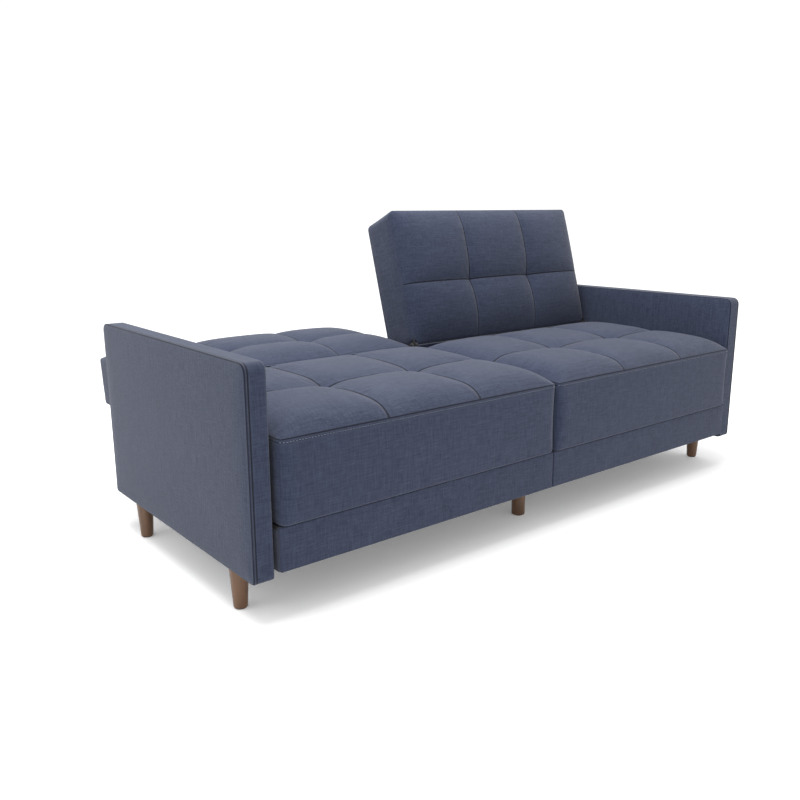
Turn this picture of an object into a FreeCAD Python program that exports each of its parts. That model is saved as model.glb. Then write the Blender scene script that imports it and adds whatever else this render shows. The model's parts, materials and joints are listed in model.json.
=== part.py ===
import FreeCAD, Part
import math
import os
import Sketcher
from FreeCAD import Placement, Rotation, Vector

# A two-seat sofa bed with a split back, in millimetres.
# X runs along the sofa, Y from the front to the rear and Z up. The origin is on the floor, at the
# centre of the footprint that the sofa has with one back laid flat. The left back lies flat, level
# with the seats, and the right back stands up. Each half is a mirror image of the other.

# ---------------------------------------------------------------- driving dimensions
SIZES = [
    # whole sofa
    ("overall_width", 2070),
    ("bed_depth", 1160),
    ("half_gap", 3),  # from the middle plane to each half's seat and back
    ("arm_gap", 14),  # between a seat or back and the arm beside it
    # arms
    ("arm_thick", 57),
    ("arm_depth", 878),
    ("arm_top", 640),
    ("arm_bottom", 110),
    ("arm_setback", 19),
    ("arm_top_radius", 24),
    ("arm_low_radius", 12),
    ("arm_pad", 8),  # foam and cloth over the arm's boards
    ("arm_board", 3),
    ("arm_stile", 45),
    ("arm_sill", 90),
    ("arm_cross_bolts", 3),
    ("arm_bolt_pitch", 250),
    ("arm_bolt_clear", 4),  # from the arm bolt's end to the arm's middle plane
    # base
    ("base_bottom", 128),
    ("base_top", 243),
    ("base_depth", 790),
    ("base_board", 22),
    ("base_deck", 9),
    ("apron_thick", 12),
    ("apron_setback", 8),
    ("apron_end_gap", 11),
    ("apron_round", 4),
    ("base_gap", 1),  # from the middle plane to each half's base
    ("dust_cloth", 1),
    ("cloth_play", 2),  # round the plates that the dust cloth leaves bare
    ("cleat_end_gap", 60),  # from the base's front or rear to the batten beside the arm
    ("cleat_edge_gap", 15),
    ("bolt_head", 6),
    ("join_bolt_pitch", 158),
    # legs
    ("leg_top_dia", 50),
    ("leg_foot_dia", 36),
    ("leg_front_inset", 129),  # from the arm's front edge to the front leg's axis
    ("leg_rear_inset", 154),  # from the arm's rear edge to the rear leg's axis
    ("centre_leg_dia", 43),
    ("glide_thick", 3),
    ("glide_dia", 30),
    ("foot_round", 2),
    ("leg_plate", 2),
    ("leg_plate_long", 80),
    ("leg_plate_play", 1),
    ("leg_bolt_radius", 4),
    ("leg_bolt_reach", 32),  # into the leg, and as far into the timber
    # seats
    ("seat_depth", 677),
    ("seat_edge", 458),
    ("seat_crown", 36),
    ("seat_rear_rise", 26),  # of the seat's rear edge above its front edge
    ("seat_wall", 20),  # foam in front of the seat's timber
    ("seat_rear_wall", 14),
    ("seat_board", 18),
    ("seat_board_height", 120),
    ("coil_radius", 29),
    ("coil_height", 135),
    ("coil_columns", 14),
    ("coil_rows", 9),
    ("coil_web", 2),
    ("coil_clear", 8),  # over the springs
    ("slat_width", 70),
    ("slat_thick", 12),
    ("slat_count", 5),
    # backs
    ("back_thick", 155),
    ("back_crown", 30),
    ("back_skew", 20),  # how far the face reaches past the rear at the head end
    ("back_rail_width", 40),
    ("back_rail_thick", 35),
    ("back_rail_inset", 15),  # from the back's rear face to its timber
    ("back_edge_foam", 22),  # foam over the timber's head end
    ("back_foot_foam", 15),
    ("rear_panel", 2),
    ("webbing_width", 60),
    ("webbing_thick", 2),
    ("webbing_count", 5),
    ("webbing_clear", 1),
    # hinges
    ("hinge_height", 488),
    ("crease_gap", 2),  # from the hinge axis to the seat, and to the back
    ("upright", 74),  # degrees from flat to sitting
    ("recline", 40),  # degrees from flat to the half-way stop
    ("release", 8),  # degrees past sitting that let the ratchet go
    ("plate_thick", 3),
    ("plate_width", 38),
    ("plate_play", 0.3),
    ("seat_plate_edge", 6),  # from the hinge axis to the seat plate's rear edge
    ("back_plate_edge", 12),  # from the hinge axis to the back plate's near edge
    ("seat_foot_long", 190),
    ("back_foot_long", 180),
    ("plate_foot_gap", 6),  # from the seat plate's foot up to the timber's top edge
    ("plate_lap", 2),
    ("head_radius", 11),
    ("ratchet_radius", 30),
    ("pivot_radius", 4),
    ("pivot_play", 0.05),
    ("rivet_head", 2.5),
    ("rivet_head_radius", 8),
    ("rivet_play", 0.1),
    ("pawl_hub_radius", 8),
    ("pawl_pin_radius", 3),
    ("pawl_rivet_head_radius", 5.7),
    ("pawl_spring_play", 0.4),
    ("stop_lug_width", 6),
    ("stop_lug_height", 12),
    ("stop_lug_play", 0.6),  # from the lug to the back plate when the back is flat
    ("stop_ear_height", 16),
    ("stop_ear_drop", 48),  # from the ratchet's lowest point to the ear's lower edge
    ("side_play", 1.5),  # from the side of the seat to the outermost rivet head
    ("pocket_depth", 14),  # of the hollow in the cushion's side that holds the hinge
    ("pocket_play", 3),
    ("screw_radius", 3),
    ("screw_head_radius", 6),
    ("screw_head_high", 2),
    ("screw_length", 22),  # of the screws in the back; those in the seat follow its board
    ("screw_past", 1),  # how far the tip of a seat screw passes its board
    ("hole_play", 0.2),
    ("cut_over", 1),  # how far a cutting tool starts outside what it cuts
]

doc = FreeCAD.newDocument("sofa_bed")
sheet = doc.addObject("Spreadsheet::Sheet", "Sizes")
for row, (alias, value) in enumerate(SIZES, start=1):
    sheet.set("A%d" % row, str(value))
    sheet.setAlias("A%d" % row, alias)
doc.recompute()


class Size:
    """A length or an angle worked out from the sheet: its value, and the expression that gives it."""

    def __init__(self, value, text):
        self.value = float(value)
        self.text = text

    def _with(self, other, sign, value):
        return Size(value, "(%s %s %s)" % (self.text, sign, as_size(other).text))

    def __add__(self, other):
        return self._with(other, "+", self.value + as_size(other).value)

    def __sub__(self, other):
        return self._with(other, "-", self.value - as_size(other).value)

    def __mul__(self, other):
        return self._with(other, "*", self.value * as_size(other).value)

    def __truediv__(self, other):
        return self._with(other, "/", self.value / as_size(other).value)

    def __neg__(self):
        return Size(-self.value, "(0 - %s)" % self.text)


def as_size(number):
    return number if isinstance(number, Size) else Size(number, repr(number))


class Sheet:
    """The sheet's cells as sizes, by alias."""

    def __getattr__(self, alias):
        return Size(sheet.get(alias), "Sizes." + alias)


S = Sheet()

# ---------------------------------------------------------------- sizes worked out once
FRONT = -(S.bed_depth / 2)
HALF = S.overall_width / 2
ARM_INNER = HALF - S.arm_thick
ARM_FRONT = FRONT + S.arm_setback
ARM_REAR = ARM_FRONT + S.arm_depth
HALF_OUTER = ARM_INNER - S.arm_gap
HALF_INNER = S.half_gap
HALF_LONG = HALF_OUTER - HALF_INNER
BASE_OUTER = ARM_INNER - S.apron_end_gap
BASE_FRONT = FRONT + S.apron_setback + S.apron_thick
BASE_REAR = BASE_FRONT + S.base_depth
BASE_HIGH = S.base_top - S.base_bottom
SEAT_REAR = FRONT + S.seat_depth
HINGE_Y = SEAT_REAR + S.crease_gap
FRONT_LEG_Y = ARM_FRONT + S.leg_front_inset
REAR_LEG_Y = ARM_REAR - S.leg_rear_inset
ARM_LEG_X = HALF - S.arm_thick / 2
BACK_HEAD = S.bed_depth / 2 - HINGE_Y  # the back's head end, measured from the hinge axis
BACK_RAIL_REAR = -S.back_thick + S.back_rail_inset
# the hinge's layers, measured inwards from the side of the seat
BACK_PLATE_OUT = S.side_play + S.rivet_head
BACK_PLATE_IN = BACK_PLATE_OUT + S.plate_thick
SEAT_PLATE_OUT = BACK_PLATE_IN + S.plate_play
SEAT_PLATE_IN = SEAT_PLATE_OUT + S.plate_thick
SEAT_SCREW_LENGTH = S.plate_thick + S.seat_board + S.screw_past
PLATE_FOOT_Z = S.base_top + S.seat_board_height - S.plate_width - S.plate_foot_gap

pieces = []


# ---------------------------------------------------------------- makers
def bind(thing, **formulas):
    """Binds properties to the sheet; two underscores in a name stand for a dot."""
    for name, size in formulas.items():
        thing.setExpression(name.replace("__", "."), as_size(size).text)
    return thing


def at(thing, x, y, z):
    return bind(thing, Placement__Base__x=x, Placement__Base__y=y, Placement__Base__z=z)


def box(name, lengths, corner):
    thing = doc.addObject("Part::Box", name)
    bind(thing, Length=lengths[0], Width=lengths[1], Height=lengths[2])
    return at(thing, *corner)


def rod(name, radius, length, start, along="z"):
    """A cylinder from start, along +Z or +X."""
    thing = doc.addObject("Part::Cylinder", name)
    bind(thing, Radius=radius, Height=length)
    if along == "x":
        thing.Placement = Placement(Vector(), Rotation(Vector(0, 1, 0), 90))
    return at(thing, *start)


def group(name, items):
    thing = doc.addObject("Part::Compound", name)
    thing.Links = items
    return thing


def fuse(name, items):
    thing = doc.addObject("Part::MultiFuse", name)
    thing.Shapes = items
    thing.Refine = True
    return thing


def cut(name, base, *tools):
    thing = doc.addObject("Part::Cut", name)
    thing.Base = base
    thing.Tool = tools[0] if len(tools) == 1 else group(name + "_tools", list(tools))
    thing.Refine = True
    return thing


def rounded(name, base, edge_filter, radius):
    """Rounds the edges that edge_filter picks."""
    doc.recompute()
    chosen = [i for i, e in enumerate(base.Shape.Edges, start=1) if edge_filter(e)]
    thing = doc.addObject("Part::Fillet", name)
    thing.Base = base
    thing.Edges = [(i, radius.value, radius.value) for i in chosen]
    return thing


def solid_feature(name, shape):
    thing = doc.addObject("Part::Feature", name)
    thing.Shape = shape
    return thing


def runs_along_x(edge):
    a, b = edge.Vertexes[0].Point, edge.Vertexes[-1].Point
    return abs(a.y - b.y) < 1e-6 and abs(a.z - b.z) < 1e-6


def on_back(thing, angle):
    """Puts a piece made in the back's own frame, whose X axis is the hinge axis, on the sofa."""
    thing.Placement = Placement(Vector(), Rotation(Vector(1, 0, 0), 1))
    bind(thing, Placement__Rotation__Angle=angle)
    return at(thing, 0, HINGE_Y, S.hinge_height)


def piece(label, thing):
    thing.Label = label
    pieces.append(thing)
    return thing


def mirrored(name, thing):
    other = doc.addObject("Part::Mirroring", name)
    other.Source = thing
    other.Normal = Vector(1, 0, 0)
    return other


def pair(label, thing):
    """The right-hand piece and its mirror image, both fixed to the base."""
    piece("right_" + label, group("right_" + label, [thing]))
    piece("left_" + label, mirrored("left_" + label, thing))


def back_pair(label, thing):
    """The right-hand piece on the back that stands up, and its mirror image on the flat one."""
    right = group("right_" + label, [thing])
    piece("right_" + label, on_back(right, S.upright))
    left = mirrored("left_" + label, thing)
    piece("left_" + label, on_back(left, as_size(0)))


def both_sides(name, thing):
    """One group of a right-hand thing and its mirror image."""
    return group(name, [thing, mirrored(name + "_mirror", thing)])


def outlined_body(name, corners, length, arcs=()):
    """A PartDesign body whose YZ outline is padded along +X. arcs holds (side, radius) pairs: that
    side of the outline is an arc which swells outwards."""
    body = doc.addObject("PartDesign::Body", name)
    plane = [f for f in body.Origin.OriginFeatures if f.Role == "YZ_Plane"][0]
    sketch = body.newObject("Sketcher::SketchObject", name + "_outline")
    sketch.AttachmentSupport = (plane, "")
    sketch.MapMode = "FlatFace"
    radii = dict(arcs)
    points = [Vector(y.value, z.value, 0) for y, z in corners]
    count = len(points)
    for i in range(count):
        ends = points[i], points[(i + 1) % count]
        side = arc_between(*ends, radii[i].value) if i in radii else Part.LineSegment(*ends)
        sketch.addGeometry(side, False)
    # an arc drawn anticlockwise ends where the clockwise outline starts it
    start = [2 if i in radii else 1 for i in range(count)]
    end = [1 if i in radii else 2 for i in range(count)]
    for i in range(count):
        j = (i + 1) % count
        sketch.addConstraint(sketcher("Coincident", i, end[i], j, start[j]))
    for i, (y, z) in enumerate(corners):
        for kind, size in (("DistanceX", y), ("DistanceY", z)):
            number = sketch.addConstraint(sketcher(kind, -1, 1, i, start[i], size.value))
            sketch.setExpression("Constraints[%d]" % number, size.text)
    for i, radius in radii.items():
        number = sketch.addConstraint(sketcher("Radius", i, radius.value))
        sketch.setExpression("Constraints[%d]" % number, radius.text)
    pad = body.newObject("PartDesign::Pad", name + "_pad")
    pad.Profile = sketch
    bind(pad, Length=length)
    return body


def sketcher(kind, *numbers):
    return Sketcher.Constraint(kind, *numbers)


def arc_between(a, b, radius):
    """The arc from b anticlockwise to a about a centre on the right of the line from a to b."""
    chord = b - a
    middle = (a + b) * 0.5
    right = Vector(chord.y, -chord.x, 0).normalize()
    centre = middle + right * math.sqrt(radius**2 - (chord.Length / 2) ** 2)
    start = math.atan2(b.y - centre.y, b.x - centre.x)
    stop = math.atan2(a.y - centre.y, a.x - centre.x)
    return Part.ArcOfCircle(Part.Circle(centre, Vector(0, 0, 1), radius), start, stop)


def crown_radius(chord, rise):
    return (chord * chord / 4 + rise * rise) / (rise * 2)


# ---------------------------------------------------------------- bolt and screw places
def arm_bolt_places():
    middle = (BASE_FRONT + BASE_REAR) / 2
    count = int(S.arm_cross_bolts.value)
    return [middle + S.arm_bolt_pitch * (i - (count - 1) / 2) for i in range(count)]


def arm_bolt_set(name, play, length_past):
    """The right arm's bolt shanks, grown by play, from inside the base to length_past in the arm."""
    start = BASE_OUTER - S.base_board
    length = ARM_INNER + length_past - start
    z = (S.base_top + S.base_bottom) / 2
    return [
        rod("%s_%d" % (name, i), S.leg_bolt_radius + play, length, (start, y, z), "x")
        for i, y in enumerate(arm_bolt_places())
    ]


def leg_bolt(name, x, y, top, play):
    """A leg's hanger bolt, as far up into the timber as down into the leg."""
    reach = S.leg_bolt_reach
    return rod(name, S.leg_bolt_radius + play, reach * 2, (x, y, top - reach))


def leg_bolt_holes(name):
    return [
        leg_bolt(name + "_front", ARM_LEG_X, FRONT_LEG_Y, S.arm_bottom, S.hole_play),
        leg_bolt(name + "_rear", ARM_LEG_X, REAR_LEG_Y, S.arm_bottom, S.hole_play),
    ]


# ---------------------------------------------------------------- arms
def make_arms():
    outer = box(
        "arm_block",
        (S.arm_thick, S.arm_depth, S.arm_top - S.arm_bottom),
        (ARM_INNER, ARM_FRONT, S.arm_bottom),
    )
    middle_z = ((S.arm_top + S.arm_bottom) / 2).value
    top = rounded(
        "arm_block_top",
        outer,
        lambda e: runs_along_x(e) and e.CenterOfMass.z > middle_z,
        S.arm_top_radius,
    )
    block = rounded(
        "arm_block_round",
        top,
        lambda e: runs_along_x(e) and e.CenterOfMass.z < S.arm_bottom.value + S.cut_over.value,
        S.arm_low_radius,
    )
    inside = box(
        "arm_hollow",
        (S.arm_thick - S.arm_pad * 2, S.arm_depth - S.arm_pad * 2, S.arm_top - S.arm_bottom - S.arm_pad),
        (ARM_INNER + S.arm_pad, ARM_FRONT + S.arm_pad, S.arm_bottom),
    )
    holes = arm_bolt_set("arm_cover_hole", S.hole_play, S.arm_thick / 2)
    cover = cut("arm_cover_shell", block, inside, *holes)
    pair("arm_cover", cover)

    low = S.arm_bottom + S.leg_plate
    high = S.arm_top - S.arm_pad - low
    length = S.arm_depth - S.arm_pad * 2
    thick = S.arm_thick - (S.arm_pad + S.arm_board) * 2
    x = ARM_INNER + S.arm_pad + S.arm_board
    y = ARM_FRONT + S.arm_pad
    stile = S.arm_stile
    stile_high = high - S.arm_sill - stile
    stile_z = low + S.arm_sill
    holes = arm_bolt_set("arm_frame_hole", S.hole_play, S.arm_thick / 2) + leg_bolt_holes("arm_sill_hole")
    sill = cut("arm_sill", box("arm_sill_board", (thick, length, S.arm_sill), (x, y, low)), *holes)
    rail = box("arm_top_rail", (thick, length, stile), (x, y, low + high - stile))
    stiles = [
        box("arm_stile_%d" % i, (thick, stile, stile_high), (x, y + (length - stile) * i / 2, stile_z))
        for i in range(3)
    ]
    pair("arm_frame", group("arm_timber", [sill, rail] + stiles))

    inner = box("arm_inner_sheet", (S.arm_board, length, high), (x - S.arm_board, y, low))
    holes = arm_bolt_set("arm_board_hole", S.hole_play, S.arm_thick / 2)
    outer_sheet = box("arm_outer_sheet", (S.arm_board, length, high), (x + thick, y, low))
    pair("arm_boards", group("arm_sheets", [cut("arm_inner_board", inner, *holes), outer_sheet]))


# ---------------------------------------------------------------- legs
def is_foot_edge(edge):
    return edge.Closed and edge.CenterOfMass.z < (S.glide_thick + S.cut_over).value


def make_legs():
    plate_long = S.leg_plate_long
    plate_wide = S.arm_thick - S.arm_pad * 2 - S.leg_plate_play
    glides, plates, bolts = [], [], []
    for name, y in (("front", FRONT_LEG_Y), ("rear", REAR_LEG_Y)):
        cone = doc.addObject("Part::Cone", "leg_cone_" + name)
        bind(cone, Radius1=S.leg_foot_dia / 2, Radius2=S.leg_top_dia / 2)
        bind(cone, Height=S.arm_bottom - S.glide_thick)
        at(cone, ARM_LEG_X, y, S.glide_thick)
        foot = rounded("leg_foot_" + name, cone, is_foot_edge, S.foot_round)
        hole = leg_bolt("leg_hole_" + name, ARM_LEG_X, y, S.arm_bottom, S.hole_play)
        pair(name + "_leg", cut("leg_turned_" + name, foot, hole))
        glides.append(rod("glide_" + name, S.glide_dia / 2, S.glide_thick, (ARM_LEG_X, y, 0)))
        plate = box(
            "leg_plate_blank_" + name,
            (plate_wide, plate_long, S.leg_plate),
            (ARM_LEG_X - plate_wide / 2, y - plate_long / 2, S.arm_bottom),
        )
        hole = leg_bolt("leg_plate_hole_" + name, ARM_LEG_X, y, S.arm_bottom, S.hole_play)
        plates.append(cut("leg_plate_" + name, plate, hole))
        bolts.append(leg_bolt("leg_bolt_" + name, ARM_LEG_X, y, S.arm_bottom, 0))
    glides = [both_sides("arm_glides", group("arm_glides_right", glides))]
    plates = [both_sides("arm_leg_plates", group("arm_leg_plates_right", plates))]
    bolts = [both_sides("arm_leg_bolts", group("arm_leg_bolts_right", bolts))]

    top = S.base_bottom - S.leg_plate
    for name, y in (("front", FRONT_LEG_Y), ("rear", REAR_LEG_Y)):
        high = top - S.glide_thick
        dowel = rod("centre_dowel_" + name, S.centre_leg_dia / 2, high, (0, y, S.glide_thick))
        foot = rounded("centre_foot_" + name, dowel, is_foot_edge, S.foot_round)
        hole = leg_bolt("centre_hole_" + name, 0, y, top, S.hole_play)
        piece("centre_%s_leg" % name, cut("centre_%s_leg" % name, foot, hole))
        glides.append(rod("centre_glide_" + name, S.glide_dia / 2, S.glide_thick, (0, y, 0)))
        blank = box(
            "centre_plate_blank_" + name,
            (plate_long, plate_long, S.leg_plate),
            (-(plate_long / 2), y - plate_long / 2, top),
        )
        hole = leg_bolt("centre_plate_hole_" + name, 0, y, top, S.hole_play)
        plates.append(cut("centre_plate_" + name, blank, hole))
        bolts.append(leg_bolt("centre_bolt_" + name, 0, y, top, 0))
    piece("leg_glides", group("leg_glides", glides))
    piece("leg_plates", group("leg_plates", plates))
    piece("leg_bolts", group("leg_bolts", bolts))


# ---------------------------------------------------------------- base
def make_base():
    t = S.base_board
    high = BASE_HIGH - S.base_deck
    inner = S.base_gap
    long = BASE_OUTER - inner
    z = S.base_bottom
    front = box("base_front_board", (long, t, high), (inner, BASE_FRONT, z))
    rear = box("base_rear_board", (long, t, high), (inner, BASE_REAR - t, z))
    side_size = (t, S.base_depth - t * 2, high)
    mid = (BASE_OUTER + inner) / 2 - t / 2
    middle = box("base_middle_board", side_size, (mid, BASE_FRONT + t, z))
    outer_blank = box("base_outer_blank", side_size, (BASE_OUTER - t, BASE_FRONT + t, z))
    outer = cut("base_outer_board", outer_blank, *arm_bolt_set("base_side_hole", S.hole_play, as_size(0)))
    inner_blank = box("base_inner_blank", side_size, (inner, BASE_FRONT + t, z))
    top = S.base_bottom - S.leg_plate
    holes = join_bolts("join_hole", S.hole_play)
    for name, y in (("front", FRONT_LEG_Y), ("rear", REAR_LEG_Y)):
        holes.append(leg_bolt("inner_board_hole_" + name, 0, y, top, S.hole_play))
    inner_board = cut("base_inner_board", inner_blank, *holes)
    pair("base_frame", group("base_timber", [front, rear, middle, outer, inner_board]))

    deck = box(
        "base_deck_sheet",
        (long, S.base_depth, S.base_deck),
        (inner, BASE_FRONT, S.base_top - S.base_deck),
    )
    pair("base_deck", deck)
    apron = box(
        "apron_board",
        (long, S.apron_thick, BASE_HIGH),
        (inner, BASE_FRONT - S.apron_thick, S.base_bottom),
    )
    face_y = (BASE_FRONT - S.apron_thick).value
    face_round = rounded(
        "apron_round",
        apron,
        lambda e: abs(e.CenterOfMass.y - face_y) < S.cut_over.value,
        S.apron_round,
    )
    pair("apron", face_round)

    cloth = box(
        "dust_cloth_sheet",
        (long - t, S.base_depth - t, S.dust_cloth),
        (inner + t / 2, BASE_FRONT + t / 2, S.base_bottom - S.dust_cloth),
    )
    play = S.cloth_play
    bare = S.leg_plate_long + play * 2
    gaps = [
        box("cloth_gap_" + name, (bare, bare, play * 2), (-(bare / 2), y - bare / 2, z - play))
        for name, y in (("front", FRONT_LEG_Y), ("rear", REAR_LEG_Y))
    ]
    piece("base_dust_cloths", both_sides("base_dust_cloths", cut("dust_cloth_right", cloth, *gaps)))

    # a batten between each arm and the base, and the bolts through it
    cleat_high = BASE_HIGH - S.cleat_edge_gap * 2
    cleat = box(
        "cleat_batten",
        (ARM_INNER - BASE_OUTER, S.base_depth - S.cleat_end_gap * 2, cleat_high),
        (BASE_OUTER, BASE_FRONT + S.cleat_end_gap, S.base_bottom + S.cleat_edge_gap),
    )
    right = cut("cleat_right", cleat, *arm_bolt_set("cleat_hole", S.hole_play, S.arm_pad))
    piece("arm_cleats", both_sides("arm_cleats", right))
    shanks = arm_bolt_set("arm_bolt_shank", as_size(0), S.arm_thick / 2 - S.arm_bolt_clear)
    z = (S.base_top + S.base_bottom) / 2
    bolts = []
    for i, shank in enumerate(shanks):
        start = (BASE_OUTER - t - S.bolt_head, arm_bolt_places()[i], z)
        head = rod("arm_bolt_head_%d" % i, S.leg_bolt_radius * 2, S.bolt_head, start, "x")
        bolts.append(fuse("arm_bolt_%d" % i, [shank, head]))
    piece("arm_bolts", both_sides("arm_bolts", group("arm_bolts_right", bolts)))

    through = []
    for i, shank in enumerate(join_bolts("join_bolt_shank", as_size(0))):
        y = join_bolt_places()[i]
        head = rod("join_bolt_head_%d" % i, S.leg_bolt_radius * 2, S.bolt_head, (inner + t, y, z), "x")
        start = (-(inner + t) - S.bolt_head, y, z)
        nut = rod("join_bolt_nut_%d" % i, S.leg_bolt_radius * 2, S.bolt_head, start, "x")
        through.append(fuse("join_bolt_%d" % i, [shank, head, nut]))
    piece("base_join_bolts", group("base_join_bolts", through))


def join_bolt_places():
    return [BASE_FRONT + S.base_depth / 2 + S.join_bolt_pitch * i for i in (-1, 0, 1)]


def join_bolts(name, play):
    """Shanks through the two halves' inner boards."""
    reach = S.base_board + S.base_gap
    z = (S.base_top + S.base_bottom) / 2
    return [
        rod("%s_%d" % (name, i), S.leg_bolt_radius + play, reach * 2, (-reach, y, z), "x")
        for i, y in enumerate(join_bolt_places())
    ]


# ---------------------------------------------------------------- seats
def side_pocket(name, size, corner_yz):
    """Blocks that hollow both sides of a half where its two hinges lie."""
    deep = S.pocket_depth + S.cut_over
    sides = (("inner", HALF_INNER - S.cut_over), ("outer", HALF_OUTER - S.pocket_depth))
    return [box(name + "_" + side, (deep, *size), (x, *corner_yz)) for side, x in sides]


def round_pocket(name, radius, y, z):
    deep = S.pocket_depth + S.cut_over
    return [
        rod(name + "_inner", radius, deep, (HALF_INNER - S.cut_over, y, z), "x"),
        rod(name + "_outer", radius, deep, (HALF_OUTER - S.pocket_depth, y, z), "x"),
    ]


def make_seats():
    z0, z1 = S.base_top, S.seat_edge
    block = outlined_body(
        "seat_block",
        [(FRONT, z0), (FRONT, z1), (SEAT_REAR, z1 + S.seat_rear_rise), (SEAT_REAR, z0)],
        HALF_LONG,
        [(1, crown_radius(S.seat_depth, S.seat_crown))],
    )
    at(block, HALF_INNER, 0, 0)
    skin = SEAT_PLATE_IN
    x = HALF_INNER + skin
    long = HALF_LONG - skin * 2
    y = FRONT + S.seat_wall
    deep = S.seat_depth - S.seat_wall - S.seat_rear_wall
    hollow = box("seat_hollow", (long, deep, S.slat_thick + S.coil_height + S.coil_clear), (x, y, z0))
    play = S.pocket_play
    foot_high = S.plate_width + play * 2
    upright_pocket = side_pocket(
        "seat_pocket",
        (S.plate_width + S.crease_gap + play * 3, S.hinge_height + S.ratchet_radius - PLATE_FOOT_Z + play),
        (HINGE_Y - S.seat_plate_edge - S.plate_width - play, PLATE_FOOT_Z - play),
    )
    foot_pocket = side_pocket(
        "seat_foot_pocket",
        (S.seat_foot_long + play * 2, foot_high),
        (HINGE_Y - S.seat_plate_edge - S.seat_foot_long - play, PLATE_FOOT_Z - play),
    )
    around_ratchet = round_pocket("seat_ratchet_pocket", S.ratchet_radius + play, HINGE_Y, S.hinge_height)
    cushion = cut("seat_cushion_block", block, hollow, *upright_pocket, *foot_pocket, *around_ratchet)
    pair("seat_cushion", cushion)

    t, high = S.seat_board, S.seat_board_height
    front = box("seat_front_board", (long, t, high), (x, y, z0))
    rear = box("seat_rear_board", (long, t, high), (x, y + deep - t, z0))
    sides = []
    for side, side_x in (("inner", x), ("outer", x + long - t)):
        blank = box("seat_side_" + side, (t, deep - t * 2, high), (side_x, y + t, z0))
        holes = seat_screws("seat_side_hole_" + side, S.hole_play)
        sides.append(cut("seat_side_board_" + side, blank, *holes))
    count = int(S.slat_count.value)
    slat_step = (deep - t * 2 - S.slat_width) / (count - 1)
    slat_size = (long - t * 2, S.slat_width, S.slat_thick)
    slats = [box("seat_slat_%d" % i, slat_size, (x + t, y + t + slat_step * i, z0)) for i in range(count)]
    pair("seat_frame", group("seat_timber", [front, rear] + sides + slats))
    pair("seat_coils", coil_unit(x + t, y + t, z0 + S.slat_thick, long - t * 2, deep - t * 2))


def coil_unit(x, y, z, long, deep):
    """Rows of pocket springs: each row is one strip of cloth sleeves joined side by side."""
    columns, rows = int(S.coil_columns.value), int(S.coil_rows.value)
    r, high = S.coil_radius, S.coil_height
    pitch_x, pitch_y = long / columns, deep / rows
    starts = [(x + pitch_x * (i + 0.5), y + pitch_y / 2, z) for i in range(columns)]
    sleeves = [rod("coil_%d" % i, r, high, start) for i, start in enumerate(starts)]
    web = box(
        "coil_web",
        (long - pitch_x, S.coil_web, high),
        (x + pitch_x / 2, y + pitch_y / 2 - S.coil_web / 2, z),
    )
    strip = fuse("coil_strip", sleeves + [web])
    doc.recompute()
    step = pitch_y.value
    strips = [strip.Shape.translated(Vector(0, step * i, 0)) for i in range(rows)]
    return solid_feature("coil_rows", Part.makeCompound(strips))


# ---------------------------------------------------------------- backs
def make_backs():
    """Made lying flat, in the back's own frame: Y from the hinge axis to the head end, Z up."""
    near, far = S.crease_gap, BACK_HEAD
    thick = S.back_thick
    block = outlined_body(
        "back_block",
        [(near, -thick), (near, as_size(0)), (far, as_size(0)), (far - S.back_skew, -thick)],
        HALF_LONG,
        [(1, crown_radius(far - near, S.back_crown))],
    )
    at(block, HALF_INNER, 0, 0)
    x = HALF_INNER + BACK_PLATE_IN
    long = HALF_LONG - BACK_PLATE_IN * 2
    y = near + S.back_foot_foam
    deep = far - near - S.back_foot_foam - S.back_edge_foam - S.back_skew
    hollow = box(
        "back_hollow",
        (long, deep, S.back_rail_inset + S.back_rail_thick + S.webbing_thick + S.webbing_clear),
        (x, y, -thick),
    )
    play = S.pocket_play
    strip = side_pocket(
        "back_pocket",
        (S.plate_width + S.back_plate_edge + play, thick - S.back_rail_inset + S.head_radius + play * 4),
        (as_size(0), BACK_RAIL_REAR - play),
    )
    foot = side_pocket(
        "back_foot_pocket",
        (S.back_foot_long + S.back_plate_edge + play, S.plate_width + play * 2),
        (as_size(0), BACK_RAIL_REAR - play),
    )
    around_head = round_pocket("back_head_pocket", S.ratchet_radius + play, as_size(0), as_size(0))
    cushion = cut("back_cushion_block", block, hollow, *strip, *foot, *around_head)
    back_pair("back_cushion", cushion)

    rail, rail_t = S.back_rail_width, S.back_rail_thick
    z = BACK_RAIL_REAR
    foot_rail = box("back_foot_rail", (long, rail, rail_t), (x, y, z))
    head_rail = box("back_head_rail", (long, rail, rail_t), (x, y + deep - rail, z))
    stiles = []
    for i, stile_x in enumerate((x, x + (long - rail) / 2, x + long - rail)):
        blank = box("back_stile_blank_%d" % i, (rail, deep - rail * 2, rail_t), (stile_x, y + rail, z))
        stiles.append(cut("back_stile_%d" % i, blank, *back_screws("back_stile_hole_%d" % i, S.hole_play)))
    foot_rail = cut("back_foot_rail_drilled", foot_rail, *back_screws("foot_rail_hole", S.hole_play))
    back_pair("back_frame", group("back_timber", [foot_rail, head_rail] + stiles))

    count = int(S.webbing_count.value)
    width = S.webbing_width
    straps = [
        box(
            "strap_%d" % i,
            (long, width, S.webbing_thick),
            (x, y + (deep - width) * i / (count - 1), z + rail_t),
        )
        for i in range(count)
    ]
    back_pair("back_webbing", group("back_straps", straps))
    panel = box(
        "back_panel_sheet",
        (long, deep, S.rear_panel),
        (x, y, -thick),
    )
    back_pair("back_rear_panel", panel)


# ---------------------------------------------------------------- hinges
# A hinge is made in its own frame: Y and Z from the hinge axis with the back flat, and X = 0 at the
# side of the half, with the layers towards -X.
FOOT_SCREWS = (30, 85, 140)  # along each plate's foot, from its far end
RATCHET_SECTOR = (172, 300)  # degrees from +Y

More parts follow.
